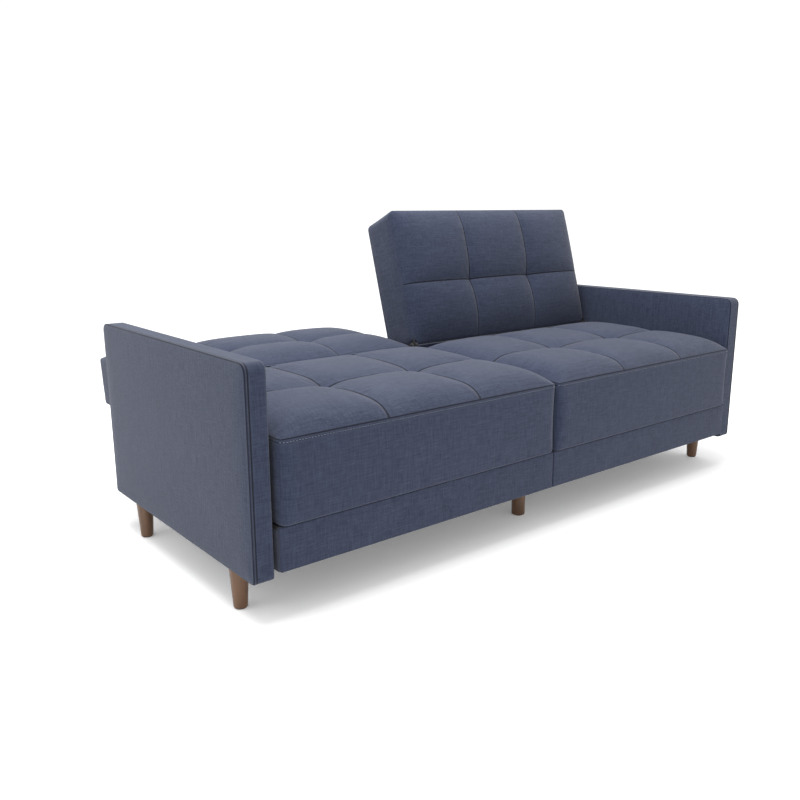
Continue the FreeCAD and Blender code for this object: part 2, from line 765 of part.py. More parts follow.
# outlines are (y, z) points from the ratchet's lowest point, with the pawl held clear of it
NOTCH_OUTLINE = ((-8, -3), (-5.4, 3), (0.8, 4.6), (5.6, 1.6), (8.5, -3))
PAWL_NOSE = ((-20, -9), (-3, -4), (-0.5, -0.9), (4.5, -0.6), (6.5, -4.5), (-12, -22.5))
PAWL_TAIL = ((-11, -11), (-23, -20.5), (-28, -27), (-24, -32), (-19, -30.5), (-12, -22.5))
SPRING_LEAF = ((-16.3, -3.9), (-27.9, -14.9), (-38, -28), (-37.2, -28.4), (-27.4, -15.4), (-15.8, -4.4))
SPRING_FOOT = ((-36, -25.5), (-42, -30), (-39.5, -33.5), (-33.5, -29))
PAWL_PIN_Y = as_size(-16)
PAWL_PIN_Z = as_size(-16) - S.ratchet_radius


def plate_layer(name, lengths_yz, corner_yz, outer):
    """A flat strip of plate whose outer face is at the layer's depth."""
    y, z = corner_yz
    return box(name, (S.plate_thick, *lengths_yz), (-outer - S.plate_thick, y, z))


def plate_disc(name, radius, outer, y=0, z=0):
    return rod(name, radius, S.plate_thick, (-outer - S.plate_thick, y, z), "x")


def seat_foot_screw_places():
    z = PLATE_FOOT_Z + S.plate_width / 2 - S.hinge_height
    return [(-S.seat_plate_edge - S.seat_foot_long + along, z) for along in FOOT_SCREWS]


def back_foot_screw_places():
    z = BACK_RAIL_REAR + S.back_rail_thick / 2
    return [(S.back_plate_edge + S.back_foot_long - along, z) for along in FOOT_SCREWS]


def screw(name, play, plate_outer, length, y, z, with_head=True):
    """A screw through a hinge plate into the timber behind it, in the hinge's frame."""
    shank = rod(name, S.screw_radius + play, length, (-plate_outer - length, y, z), "x")
    if not with_head:
        return shank
    head = rod(name + "_head", S.screw_head_radius, S.screw_head_high, (-plate_outer, y, z), "x")
    return fuse(name + "_whole", [shank, head])


def on_both_hinges(name, thing, axis_y, axis_z):
    """The thing at the half's outer hinge, and its mirror image at the inner hinge."""
    outer = group(name + "_outer", [thing])
    inner = mirrored(name + "_inner", thing)
    return [at(outer, HALF_OUTER, axis_y, axis_z), at(inner, HALF_INNER, axis_y, axis_z)]


def seat_screws(name, play):
    shanks = [
        screw("%s_%d" % (name, i), play, SEAT_PLATE_OUT, SEAT_SCREW_LENGTH, y, z, False)
        for i, (y, z) in enumerate(seat_foot_screw_places())
    ]
    return on_both_hinges(name, group(name + "_set", shanks), HINGE_Y, S.hinge_height)


def back_screws(name, play):
    shanks = [
        screw("%s_%d" % (name, i), play, BACK_PLATE_OUT, S.screw_length, y, z, False)
        for i, (y, z) in enumerate(back_foot_screw_places())
    ]
    return on_both_hinges(name, group(name + "_set", shanks), 0, 0)


def polygon_plate(points, outer, thick):
    """A plate cut to one of the outlines; outer is the depth of its outer face."""
    low = -S.ratchet_radius.value
    corners = [Vector(-outer - thick, y, low + z) for y, z in points]
    face = Part.Face(Part.makePolygon(corners + corners[:1]))
    return face.extrude(Vector(thick, 0, 0))


def pawl_disc(radius):
    """A disc about the pawl's pin, as thick as the pawl."""
    start = Vector(-BACK_PLATE_IN.value, PAWL_PIN_Y.value, PAWL_PIN_Z.value)
    return Part.makeCylinder(radius.value, S.plate_thick.value, start, Vector(1, 0, 0))


def ratchet_teeth():
    """The notches that the pawl falls into, one at each stop and a wide one that lets it go."""
    over = S.cut_over.value
    notch = polygon_plate(NOTCH_OUTLINE, BACK_PLATE_OUT.value - over, S.plate_thick.value + 2 * over)
    stops = [0, S.recline.value] + [S.upright.value + S.release.value * i / 2 for i in range(3)]
    turned = [notch.rotated(Vector(), Vector(1, 0, 0), -stop) for stop in stops]
    return turned[0].fuse(turned[1:])


def make_back_plate():
    first, last = RATCHET_SECTOR
    outer = BACK_PLATE_OUT
    sector = plate_disc("ratchet_sector", S.ratchet_radius, outer)
    sector.Angle = last - first
    turn = Rotation(Vector(1, 0, 0), first - 270) * Rotation(Vector(0, 1, 0), 90)
    sector.Placement = Placement(sector.Placement.Base, turn)
    head = plate_disc("back_plate_head", S.head_radius, outer)
    strip_low = BACK_RAIL_REAR
    strip_size = (S.plate_width - S.back_plate_edge / 2, -strip_low)
    strip = plate_layer("back_plate_strip", strip_size, (S.back_plate_edge, strip_low), outer)
    foot = plate_layer(
        "back_plate_foot", (S.back_foot_long, S.back_rail_thick), (S.back_plate_edge, strip_low), outer
    )
    neck_size = (S.back_plate_edge + S.plate_lap, S.head_radius)
    neck = plate_layer("back_plate_neck", neck_size, (0, -S.head_radius), outer)
    blank = fuse("back_plate_blank", [sector, head, strip, foot, neck])
    bore = plate_disc("back_plate_bore", S.pivot_radius + S.pivot_play, outer)
    teeth = solid_feature("ratchet_teeth", ratchet_teeth())
    holes = [
        plate_disc("back_plate_hole_%d" % i, S.screw_radius + S.hole_play, outer, y, z)
        for i, (y, z) in enumerate(back_foot_screw_places())
    ]
    return cut("back_plate_cut", blank, fuse("back_plate_voids", [teeth, bore] + holes))


def make_seat_plate():
    outer = SEAT_PLATE_OUT
    low = PLATE_FOOT_Z - S.hinge_height
    head = plate_disc("seat_plate_head", S.head_radius, outer)
    strip_size = (S.plate_width, -low - S.head_radius)
    strip_y = -S.seat_plate_edge - S.plate_width
    strip = plate_layer("seat_plate_strip", strip_size, (strip_y, low), outer)
    neck_long = S.seat_plate_edge + S.plate_width / 2
    neck_corner = (-neck_long, -S.head_radius * 2.5)
    neck = plate_layer("seat_plate_neck", (neck_long, S.head_radius * 2), neck_corner, outer)
    foot_corner = (-S.seat_plate_edge - S.seat_foot_long, low)
    foot = plate_layer("seat_plate_foot", (S.seat_foot_long, S.plate_width), foot_corner, outer)
    lug_y = S.back_plate_edge - S.stop_lug_play - S.stop_lug_width
    ear_low = -S.ratchet_radius - S.stop_ear_drop
    ear_size = (S.seat_plate_edge + lug_y + S.stop_lug_width, S.stop_ear_height)
    ear = plate_layer("seat_plate_ear", ear_size, (-S.seat_plate_edge, ear_low), outer)
    # a lug on the ear stops the back plate when the back is flat
    lug_size = (S.plate_thick + S.plate_play, S.stop_lug_width, S.stop_lug_height)
    lug = box("flat_stop_lug", lug_size, (-outer, lug_y, ear_low + S.plate_lap))
    blank = fuse("seat_plate_blank", [head, strip, neck, foot, ear, lug])
    bore = plate_disc("seat_plate_bore", S.pivot_radius + S.pivot_play, outer)
    pin_radius = S.pawl_pin_radius + S.pivot_play
    pin_hole = plate_disc("seat_plate_pin_hole", pin_radius, outer, PAWL_PIN_Y, PAWL_PIN_Z)
    holes = [
        plate_disc("seat_plate_hole_%d" % i, S.screw_radius + S.hole_play, outer, y, z)
        for i, (y, z) in enumerate(seat_foot_screw_places())
    ]
    return cut("seat_plate_cut", blank, bore, pin_hole, *holes)


def rivet(name, radius, head_radius, y, z):
    """A rivet through both layers, with a head outside each."""
    play = S.rivet_play
    inner = -SEAT_PLATE_IN
    shank = rod(name + "_shank", radius, SEAT_PLATE_IN - BACK_PLATE_OUT, (inner, y, z), "x")
    low = rod(name + "_inner_head", head_radius, S.rivet_head - play, (inner - S.rivet_head, y, z), "x")
    neck = rod(name + "_neck", radius, play * 2, (inner - play * 2, y, z), "x")
    top = rod(name + "_outer_head", head_radius, S.rivet_head - play, (play - BACK_PLATE_OUT, y, z), "x")
    top_neck = rod(name + "_outer_neck", radius, play * 2, (-BACK_PLATE_OUT, y, z), "x")
    return fuse(name, [shank, low, neck, top, top_neck])


def make_pawl():
    outer, thick = BACK_PLATE_OUT.value, S.plate_thick.value
    outlines = [polygon_plate(outline, outer, thick) for outline in (PAWL_NOSE, PAWL_TAIL)]
    blank = pawl_disc(S.pawl_hub_radius).fuse(outlines).removeSplitter()
    return solid_feature("pawl_cut", blank.cut(pawl_disc(S.pawl_pin_radius + S.pivot_play)))


def make_pawl_spring():
    """A leaf beside the pawl, and its foot on the seat plate."""
    play = S.pawl_spring_play
    outer = (BACK_PLATE_OUT + play).value
    leaf = polygon_plate(SPRING_LEAF, outer, (S.plate_thick - play * 2).value)
    foot = polygon_plate(SPRING_FOOT, outer, (SEAT_PLATE_OUT - BACK_PLATE_OUT - play).value)
    return solid_feature("pawl_spring_bent", leaf.fuse(foot).removeSplitter())


def make_hinges():
    seat_plate = make_seat_plate()
    back_plate = make_back_plate()
    pawl = make_pawl()
    spring = make_pawl_spring()
    rivets = group(
        "rivet_pair",
        [
            rivet("pivot_rivet", S.pivot_radius, S.rivet_head_radius, 0, 0),
            rivet("pawl_rivet", S.pawl_pin_radius, S.pawl_rivet_head_radius, PAWL_PIN_Y, PAWL_PIN_Z),
        ],
    )
    seat_screw_set = group(
        "seat_screw_set",
        [
            screw("seat_screw_%d" % i, as_size(0), SEAT_PLATE_OUT, SEAT_SCREW_LENGTH, y, z)
            for i, (y, z) in enumerate(seat_foot_screw_places())
        ],
    )
    back_screw_set = group(
        "back_screw_set",
        [
            screw("back_screw_%d" % i, as_size(0), BACK_PLATE_OUT, S.screw_length, y, z)
            for i, (y, z) in enumerate(back_foot_screw_places())
        ],
    )
    # hinge name, side x, whether its layers run towards +X, whether it is on the right half
    places = (
        ("left_outer", -HALF_OUTER, True, False),
        ("left_inner", -HALF_INNER, False, False),
        ("right_inner", HALF_INNER, True, True),
        ("right_outer", HALF_OUTER, False, True),
    )
    seat_screws_all = []
    for side, turned_set in (("left", []), ("right", [])):
        spring_set, rivet_set = [], []
        for name, x, flipped, on_right in places:
            if on_right != (side == "right"):
                continue
            angle = S.upright if on_right else as_size(0)

            def placed(kind, thing, turn=None):
                label = "%s_%s" % (name, kind)
                copy = mirrored(label, thing) if flipped else group(label, [thing])
                if turn is not None:
                    copy.Placement = Placement(Vector(), Rotation(Vector(1, 0, 0), 1))
                    bind(copy, Placement__Rotation__Angle=turn)
                return at(copy, x, HINGE_Y, S.hinge_height)

            piece(name + "_seat_plate", placed("seat_plate", seat_plate))
            piece(name + "_back_plate", placed("back_plate", back_plate, angle))
            piece(name + "_pawl", placed("pawl", pawl))
            spring_set.append(placed("pawl_spring", spring))
            rivet_set.append(placed("rivets", rivets))
            turned_set.append(placed("back_screws", back_screw_set, angle))
            seat_screws_all.append(placed("seat_screws", seat_screw_set))
        piece(side + "_pawl_springs", group(side + "_pawl_springs", spring_set))
        piece(side + "_hinge_rivets", group(side + "_hinge_rivets", rivet_set))
        piece(side + "_back_screws", group(side + "_back_screws", turned_set))
    piece("seat_hinge_screws", group("seat_hinge_screws", seat_screws_all))


# ---------------------------------------------------------------- build and write
def check():
    for thing in doc.Objects:
        if "Invalid" in thing.State or "Error" in thing.State:
            raise RuntimeError("%s failed: %s" % (thing.Name, thing.State))
    labels = [thing.Label for thing in pieces]
    if len(set(labels)) != len(labels):
        raise RuntimeError("two pieces share a name")
    for thing in pieces:
        shape = thing.Shape
        if shape.isNull() or not shape.isValid() or not shape.Solids:
            raise RuntimeError("%s has no valid solid" % thing.Label)
        if min(solid.Volume for solid in shape.Solids) <= 0:
            raise RuntimeError("%s is inside out" % thing.Label)


make_arms()
make_legs()
make_base()
make_seats()
make_backs()
make_hinges()
doc.recompute()
check()
os.makedirs("parts", exist_ok=True)
for thing in pieces:
    thing.Shape.exportStep("parts/%s.step" % thing.Label)
print("%d pieces written" % len(pieces))
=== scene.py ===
"""A two-seat sofa bed with a split back: its padded cloth, timber and metal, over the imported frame."""

import json
import math

import bpy
import numpy as np
from mathutils import Matrix, Vector, noise


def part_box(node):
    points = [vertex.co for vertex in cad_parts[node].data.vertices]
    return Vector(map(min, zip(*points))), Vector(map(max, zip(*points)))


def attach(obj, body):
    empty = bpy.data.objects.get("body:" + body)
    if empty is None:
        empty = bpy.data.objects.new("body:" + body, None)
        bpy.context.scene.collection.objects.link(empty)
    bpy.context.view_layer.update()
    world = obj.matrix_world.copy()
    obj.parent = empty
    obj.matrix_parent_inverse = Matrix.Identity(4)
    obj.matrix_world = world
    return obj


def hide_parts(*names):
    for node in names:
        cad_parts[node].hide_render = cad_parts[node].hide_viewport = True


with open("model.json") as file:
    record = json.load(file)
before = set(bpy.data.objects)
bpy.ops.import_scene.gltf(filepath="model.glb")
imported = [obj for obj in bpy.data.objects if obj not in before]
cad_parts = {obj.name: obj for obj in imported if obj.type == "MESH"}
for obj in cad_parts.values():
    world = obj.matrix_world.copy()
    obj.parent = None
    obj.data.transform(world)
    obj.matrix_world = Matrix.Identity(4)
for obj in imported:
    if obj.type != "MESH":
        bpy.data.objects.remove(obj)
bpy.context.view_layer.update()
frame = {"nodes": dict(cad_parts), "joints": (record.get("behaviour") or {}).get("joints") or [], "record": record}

# ------------------------------------------------------------------ sizes, in metres
SEAT_FRONT_HIGH = 0.215  # from the seat's underside to its front edge seam
SEAT_REAR_RISE = 0.010  # of the seat's rear edge above its front edge
SEAT_CROWN = 0.050  # the seat's pillows above its edge seam
BACK_EDGE_CROWN = 0.030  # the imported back's crown, above its face's edges
BACK_CROWN = 0.041  # the cloth back's pillows above its edge seam
BACK_HEAD_FILL = 0.018  # how far the filling pushes out the head end
BACK_SKEW = 0.020  # how far the back's face reaches past its rear at the head end
CUSHION_STEP = 0.0095  # mesh spacing over the cushions
SIDE_STEP = 0.012  # and up their sides
ARM_STEP = 0.014
ARM_EDGE_STEP = 0.008
APRON_STEPS = (0.018, 0.014, 0.006)
EDGE_LINES = (0.002, 0.005, 0.009, 0.016, 0.024)  # mesh lines this far in from a cushion's edges
SEAM_LINES = (0.002, 0.005)  # and this far from a seam
SIDE_LINE = 0.014  # and this far from the upper and lower edges of its side
ARM_EDGE_LINES = (0.002, 0.005, 0.012, 0.018, 0.024)
TINY = 1e-6  # within this, a point lies on a face
SAFE = 1e-9  # keeps a division from zero
MIRROR = (-1, 1, 1)
TOPSTITCH_DROP = 0.008  # from the edge seam down to the row of stitches
STITCH_PITCH = 0.0085
STITCH_LONG = 0.0055
STITCH_RADIUS = 0.0005
STITCH_PROUD = 0.0003
SEAT_TUFT_ROW = 0.436  # share of the seat's depth, from the front
BACK_TUFT_ROW = 0.455  # share of the back's length, from the hinge
TUFT_DIP = 0.025
TUFT_REACH = 0.040
SEAM_DIP = 0.009
SEAM_REACH = 0.030
STITCH_NIP = 0.003  # the sharp nip right at a seam
STITCH_NIP_REACH = 0.004
PUCKER_RADIUS = 0.030  # of the ring of puckers round a tuft
PUCKER_WIDTH = 0.020
PUCKER_HIGH = 0.0011
PUCKER_COUNT = 8
UNEVEN_HIGH = 0.0016
UNEVEN_GRAIN = 9  # bumps of slow unevenness in a metre
CHANNEL_LINE = 0.65  # makes the dark line of a sewn channel wider than the edge seam's
EDGE_LINE_OFF = 0.0005  # makes the edge seam's dark line narrower
TOPSTITCH_LINE_OFF = 0.0009  # and the one that the stitches lie in
HINGE_POCKET = 0.0135  # how far the cover is drawn in round a hinge
POCKET_FADE = 0.02  # how soon the drawing in fades across the cushion
POCKET_EDGE = 0.006
POCKET_HEAD = 0.004  # how far over the hinge axis a pocket keeps its full width
POCKET_NARROWING = 2.5
SEAT_POCKET_RADIUS = 0.033
BACK_POCKET_RADIUS = 0.014
CREASE_SOFTNESS = 0.050  # how gently a cushion rolls down into the crease
CREASE_FALL = 0.55  # share of a cushion's crown that is lost at the crease
SEAT_SOFTNESS = 0.034  # how gently the seat's pillows rise from its edge seam
BACK_SOFTNESS = 0.045
SEAT_RADII = ((0.022, 0.012), (0.022, 0.012))  # of the corners in plan
BACK_RADII = ((0.016, 0.018), (0.016, 0.018))
ARM_RADII = ((0.012, 0.024), (0.012, 0.024))
APRON_RADII = ((0.004, 0.004), (0.004, 0.004))
SEAT_EDGE_ROUND = 0.005
BACK_EDGE_ROUND = 0.009
CUSHION_FOOT_ROUND = 0.010
ARM_EDGE_ROUND = 0.004
APRON_EDGE_ROUND = 0.0035
APRON_BACK_ROUND = 0.002
SEAT_FOOT_GAP = 0.0005  # how far above the seat's underside its cover stays
WELT_WIDTH = 0.008
WELT_ROUND = 0.0025
WELT_HIGH = 0.0012
APRON_CROWN = 0.0012
APRON_SOFTNESS = 0.02
SEAM_HOLD = 0.6  # how firmly a seam holds the cloth while it is filled
WELT_HOLD = 0.85
HELD_FOOT = 0.02  # height of the band round a cushion's foot that stays put
TUFT_HOLD_RADIUS = 0.008
POCKET_HOLD = 0.02  # share of a pocket's depth from which its cloth stays put
TOP_FILL = 0.008  # the furthest that filling moves the cloth
SIDE_FILL = 0.005
END_FILL = 0.0022
CREASE_FILL = 0.001
ARM_FILL = 0.0035
ARM_EDGE_FILL = 0.0008
FILL_FRAMES = 20
CUSHION_PRESSURE = 4.0
ARM_PRESSURE = 1.5
CREASE_CLOTH = 0.0016  # thickness of the cloth in the crease
CREASE_END_GAP = 0.016  # clear of the hinges at the seat's sides
CREASE_HEAD_RADIUS = 0.0055
CREASE_STEP = 0.05
CREASE_NECK = 0.0004  # over which the head turns into the hanging cloth
CREASE_HEAD_LINES = (0.97, 0.8, 0.55, 0.3)  # mesh lines across half the head, as shares of its radius
CREASE_FOOT = 0.150  # of the crease cloth's lower edge above the seat's underside

# camera
CAMERA_PLACE = (-1.872, -2.149, 0.970)
CAMERA_HEADING = 38.81  # degrees from +Y towards +X
CAMERA_DOWN = 13.15
CAMERA_ROLL = -0.271
CAMERA_LENS = 36.81

# lights, each a name, place, width and power, and what they light
LIGHT_AIM = (0, 0, 0.4)
LIGHTS = (
    ("overhead", (-0.5, 0.2, 3.4), 2.6, 155),
    ("left_key", (-3.6, 0.2, 1.9), 1.8, 10),
)
SKY_STRENGTH = 1.08
FLOOR_REACH = 60.0


# ------------------------------------------------------------------ frame lookups
def joint(name):
    return next(j for j in frame["joints"] if j["name"] == name)


HINGE = Vector(joint("left_back_fold")["pos_m"])
UPRIGHT = -math.radians(joint("right_back_fold")["range_deg"][0])
BODY_OF_SIDE = {"left": "left_back", "right": "right_back"}


# ------------------------------------------------------------------ soft blocks
def grid_line(length, step, ends=(), stops=(), margins=()):
    """Sorted mesh lines from 0 to length: near both ends, round each stop, and evenly between."""
    marks = {0.0, length}
    marks.update(e for e in ends)
    marks.update(length - e for e in ends)
    for stop in stops:
        marks.add(stop)
        marks.update(stop + side * m for m in margins for side in (-1, 1))
    marks = sorted(marks)
    line = [marks[0]]
    for low, high in zip(marks, marks[1:]):
        if high - line[-1] < 1e-5:
            continue
        count = max(1, round((high - low) / step))
        line += [low + (high - low) * i / count for i in range(1, count + 1)]
    return np.array(line)


def lattice_shell(lines):
    """The outside of a box lattice: its points' lattice places and its quads, facing outwards."""
    na, nb, nc = (len(line) for line in lines)
    number = -np.ones((na, nb, nc), int)
    skin = np.zeros((na, nb, nc), bool)
    for axis in range(3):
        for end in (0, -1):
            part = [slice(None)] * 3
            part[axis] = end
            skin[tuple(part)] = True
    number[skin] = np.arange(skin.sum())
    i, j, k = np.nonzero(skin)
    places = np.stack([lines[0][i], lines[1][j], lines[2][k]], axis=1)
    quads = []
    for axis in range(3):
        for end in (0, -1):
            part = [slice(None)] * 3
            part[axis] = end
            sheet = number[tuple(part)]
            ring = [sheet[:-1, :-1], sheet[1:, :-1], sheet[1:, 1:], sheet[:-1, 1:]]
            flip = (end == 0) != (axis == 1)
            ring = ring[::-1] if flip else ring
            quads.append(np.stack([r.ravel() for r in ring], axis=1))
    return places, np.concatenate(quads)


def round_block(places, size, radii, high_round, low_round):
    """Rounds a block's corners in plan by radii[a side][b side], and its high and low edges."""
    a, b, c = places.T
    A, B, C = size
    corner = np.array(radii)[(a > A / 2).astype(int), (b > B / 2).astype(int)]
    qa = np.clip(a, corner, A - corner)
    qb = np.clip(b, corner, B - corner)
    da, db = a - qa, b - qb
    reach = np.hypot(da, db)
    inset = np.minimum(np.minimum(a, A - a), np.minimum(b, B - b))
    high = c > C / 2
    depth = np.where(high, C - c, c)
    r = np.where(high, high_round, low_round)
    band = (inset < r) & (depth < r)
    p = np.where(band, r - inset, 0.0)
    q = np.where(band, r - depth, 0.0)
    share = np.where(band, np.maximum(p, q) / np.maximum(np.hypot(p, q), SAFE), 1.0)
    inset = np.where(band, r - p * share, inset)
    depth = np.where(band, r - q * share, depth)
    out = places.copy()
    side = reach > SAFE
    scale = np.where(side, (corner - inset) / np.maximum(reach, SAFE), 0.0)
    out[:, 0] = qa + da * scale
    out[:, 1] = qb + db * scale
    out[:, 2] = np.where(high, C - depth, depth)
    return out


def pillow(a, b, size, softness):
    """A crowned sheet's height, from 0 at its edges to nearly 1 in its middle."""
    A, B = size[0], size[1]
    rise = [1 - np.exp(-d / softness) for d in (a, A - a, b, B - b)]
    return rise[0] * rise[1] * rise[2] * rise[3]


def make_mesh(name, points, quads):
    mesh = bpy.data.meshes.new(name)
    mesh.from_pydata([tuple(p) for p in points], [], [tuple(int(v) for v in q) for q in quads])
    mesh.update()
    piece = bpy.data.objects.new(name, mesh)
    bpy.context.scene.collection.objects.link(piece)
    return piece


def read_points(mesh):
    flat = np.empty(len(mesh.vertices) * 3)
    mesh.vertices.foreach_get("co", flat)
    return flat.reshape(-1, 3)


def puff(points, quads, held, most, pressure):
    """Fills a cover with a cloth simulation. held is 0 for free cloth and 1 for cloth that is sewn down, and
    most caps how far each point may move."""
    piece = make_mesh("cover_to_fill", points, quads)
    group = piece.vertex_groups.new(name="held")
    for level in np.unique(np.round(held, 2)):
        if level > 0:
            chosen = np.nonzero(np.round(held, 2) == level)[0]
            group.add([int(i) for i in chosen], float(level), "REPLACE")
    cloth = piece.modifiers.new("fill", "CLOTH")
    cloth.settings.quality = 4
    cloth.settings.mass = 0.3
    cloth.settings.tension_stiffness = 12
    cloth.settings.compression_stiffness = 12
    cloth.settings.shear_stiffness = 6
    cloth.settings.bending_stiffness = 0.6
    cloth.settings.use_pressure = True
    cloth.settings.uniform_pressure_force = pressure
    cloth.settings.vertex_group_mass = "held"
    cloth.settings.effector_weights.gravity = 0
    cloth.collision_settings.use_collision = False
    cloth.point_cache.frame_start = 1
    cloth.point_cache.frame_end = FILL_FRAMES
    scene = bpy.context.scene
    for step in range(1, FILL_FRAMES + 1):
        scene.frame_set(step)
    graph = bpy.context.evaluated_depsgraph_get()
    filled = read_points(piece.evaluated_get(graph).data)
    bpy.data.objects.remove(piece)
    scene.frame_set(1)
    move = filled - points
    far = np.linalg.norm(move, axis=1)
    most = np.maximum(most, TINY)
    kept = most * np.tanh(far / most)
    return points + move * (kept / np.maximum(far, SAFE))[:, None]


def give_marks(mesh, seam, cloth_places):
    """Stores each point's distance to the nearest seam and its place in the flat cloth, for the materials."""
    mark = mesh.attributes.new("seam", "FLOAT", "POINT")
    mark.data.foreach_set("value", np.ascontiguousarray(seam, dtype=np.float32))
    mark = mesh.attributes.new("cloth", "FLOAT_VECTOR", "POINT")
    mark.data.foreach_set("vector", np.ascontiguousarray(cloth_places, dtype=np.float32).ravel())


def wrinkles(a, b, tufts, seed):
    """Small puckers that run out from each tuft, and slow unevenness all over."""
    out = np.zeros(len(a))
    for n, (ta, tb) in enumerate(tufts):
        r = np.hypot(a - ta, b - tb)
        turn = np.arctan2(b - tb, a - ta)
        ring = np.exp(-(((r - PUCKER_RADIUS) / PUCKER_WIDTH) ** 2))
        uneven = 0.6 + 0.4 * np.cos(3 * turn + 2 * n)
        out += PUCKER_HIGH * ring * np.cos(PUCKER_COUNT * turn + n + seed) * uneven
    slow = [noise.noise(Vector((x * UNEVEN_GRAIN, y * UNEVEN_GRAIN, seed * 3.7))) for x, y in zip(a, b)]
    return out + UNEVEN_HIGH * np.array(slow)


def cushion_shape(size, crown, softness, seams, tufts, radii, edge_round, hinge, pocket_radius, rise, seed):
    """A tufted cushion in its own block, from (0, 0, 0) to size with its crown above: its points, quads,
    lattice places and distance to the nearest seam. hinge is the hinge axis in the block, as (b, c). rise
    lifts the top towards the far end of b."""
    A, B, C = size
    lines = (
        grid_line(A, CUSHION_STEP, EDGE_LINES, seams[0], SEAM_LINES),
        grid_line(B, CUSHION_STEP, EDGE_LINES, seams[1], SEAM_LINES),
        grid_line(C, SIDE_STEP, (*SEAM_LINES, TOPSTITCH_DROP, SIDE_LINE)),
    )
    places, quads = lattice_shell(lines)
    a, b, c = places.T
    points = round_block(places, size, radii, edge_round, CUSHION_FOOT_ROUND)
    top = c > C - TINY
    lift = pillow(a, b, size, softness)
    to_crease = B - b if rise > 0 else b
    lift *= 1 - CREASE_FALL * np.exp(-to_crease / CREASE_SOFTNESS)
    to_a = np.min([np.abs(a - s) for s in seams[0]], axis=0)
    to_b = np.min([np.abs(b - s) for s in seams[1]], axis=0)
    to_seam = np.minimum(to_a, to_b)
    dip = SEAM_DIP * np.exp(-to_seam / SEAM_REACH) + STITCH_NIP * np.exp(-to_seam / STITCH_NIP_REACH)
    for ta, tb in tufts:
        dip = dip + TUFT_DIP * np.exp(-np.hypot(a - ta, b - tb) / TUFT_REACH)
    height = lift * (crown - dip + wrinkles(a, b, tufts, seed))
    points[:, 2] += np.where(top, height, 0.0)
    points[:, 2] += rise * (c / C) * (b / B)
    inset = np.minimum(np.minimum(a, A - a), np.minimum(b, B - b))
    side = (np.minimum(a, A - a) < TINY) & ~top
    above = np.maximum(c - hinge[1] - POCKET_HEAD, 0.0) * POCKET_NARROWING
    from_axis = np.hypot(b - hinge[0], np.minimum(c - hinge[1], 0.0) + above)
    in_pocket = np.clip(1 + (pocket_radius - from_axis) / POCKET_EDGE, 0, 1)
    held = np.zeros(len(a))
    held[top & (to_seam < TINY)] = SEAM_HOLD
    held[top & (inset < TINY)] = 1.0
    held[c < HELD_FOOT] = 1.0
    for ta, tb in tufts:
        held[top & (np.hypot(a - ta, b - tb) < TUFT_HOLD_RADIUS)] = 1.0
    held[in_pocket > POCKET_HOLD] = 1.0
    most = np.where(top, TOP_FILL, SIDE_FILL)
    most = np.where(side, END_FILL, most)
    most = np.where((to_crease < TINY) & ~top, CREASE_FILL, most)
    filled = puff(points, quads, held, most, CUSHION_PRESSURE)
    draw = HINGE_POCKET * in_pocket * np.exp(-np.minimum(a, A - a) / POCKET_FADE)
    filled[:, 0] += np.where(a < A / 2, draw, -draw)
    top_line = np.minimum(to_seam * CHANNEL_LINE, inset + EDGE_LINE_OFF)
    side_line = np.minimum(C - c + EDGE_LINE_OFF, np.abs(C - c - TOPSTITCH_DROP) + TOPSTITCH_LINE_OFF)
    seam = np.where(top, top_line, side_line)
    return filled, quads, places, seam


def seat_shape(seed):
    """The right seat, its block starting at the front, inner corner."""
    lo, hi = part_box("right_seat_cushion")
    size = (hi.x - lo.x, hi.y - lo.y, SEAT_FRONT_HIGH)
    third, row = size[0] / 3, size[1] * SEAT_TUFT_ROW
    seams = ((third, 2 * third), (row,))
    tufts = [(third, row), (2 * third, row)]
    hinge = (HINGE.y - lo.y, HINGE.z - SEAT_REAR_RISE - lo.z)
    shape = cushion_shape(
        size,
        SEAT_CROWN,
        SEAT_SOFTNESS,
        seams,
        tufts,
        SEAT_RADII,
        SEAT_EDGE_ROUND,
        hinge,
        SEAT_POCKET_RADIUS,
        SEAT_REAR_RISE,
        seed,
    )
    shape[0][:, 2] = np.maximum(shape[0][:, 2], SEAT_FOOT_GAP)
    return shape, Vector(lo)


def back_shape(seed):
    """The back as it lies flat. Its block starts at the hinge end, low side."""
    lo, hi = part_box("left_back_cushion")
    size = (hi.x - lo.x, hi.y - lo.y, hi.z - BACK_EDGE_CROWN - lo.z)
    third, row = size[0] / 3, size[1] * BACK_TUFT_ROW
    seams = ((third, 2 * third), (row,))
    tufts = [(third, row), (2 * third, row)]
    hinge = (HINGE.y - lo.y, HINGE.z - lo.z)
    shape = cushion_shape(
        size,
        BACK_CROWN,
        BACK_SOFTNESS,
        seams,
        tufts,
        BACK_RADII,
        BACK_EDGE_ROUND,
        hinge,
        BACK_POCKET_RADIUS,
        0.0,
        seed,
    )
    points, quads, places, seam = shape
    points[:, 1] += BACK_HEAD_FILL * np.clip(points[:, 1] / size[1], 0, 1) ** 2
    depth_share = np.clip(1 - points[:, 2] / size[2], 0, 1)
    points[:, 1] -= BACK_SKEW * np.clip(points[:, 1] / size[1], 0, 1) * depth_share
    a, b, c = places.T
    to_row = np.min([np.abs(a - s) for s in seams[0]] + [np.abs(b - s) for s in seams[1]], axis=0)
    seam = np.where(c > size[2] - TINY, to_row, 1.0)
    return (points, quads, places, seam), Vector(lo)


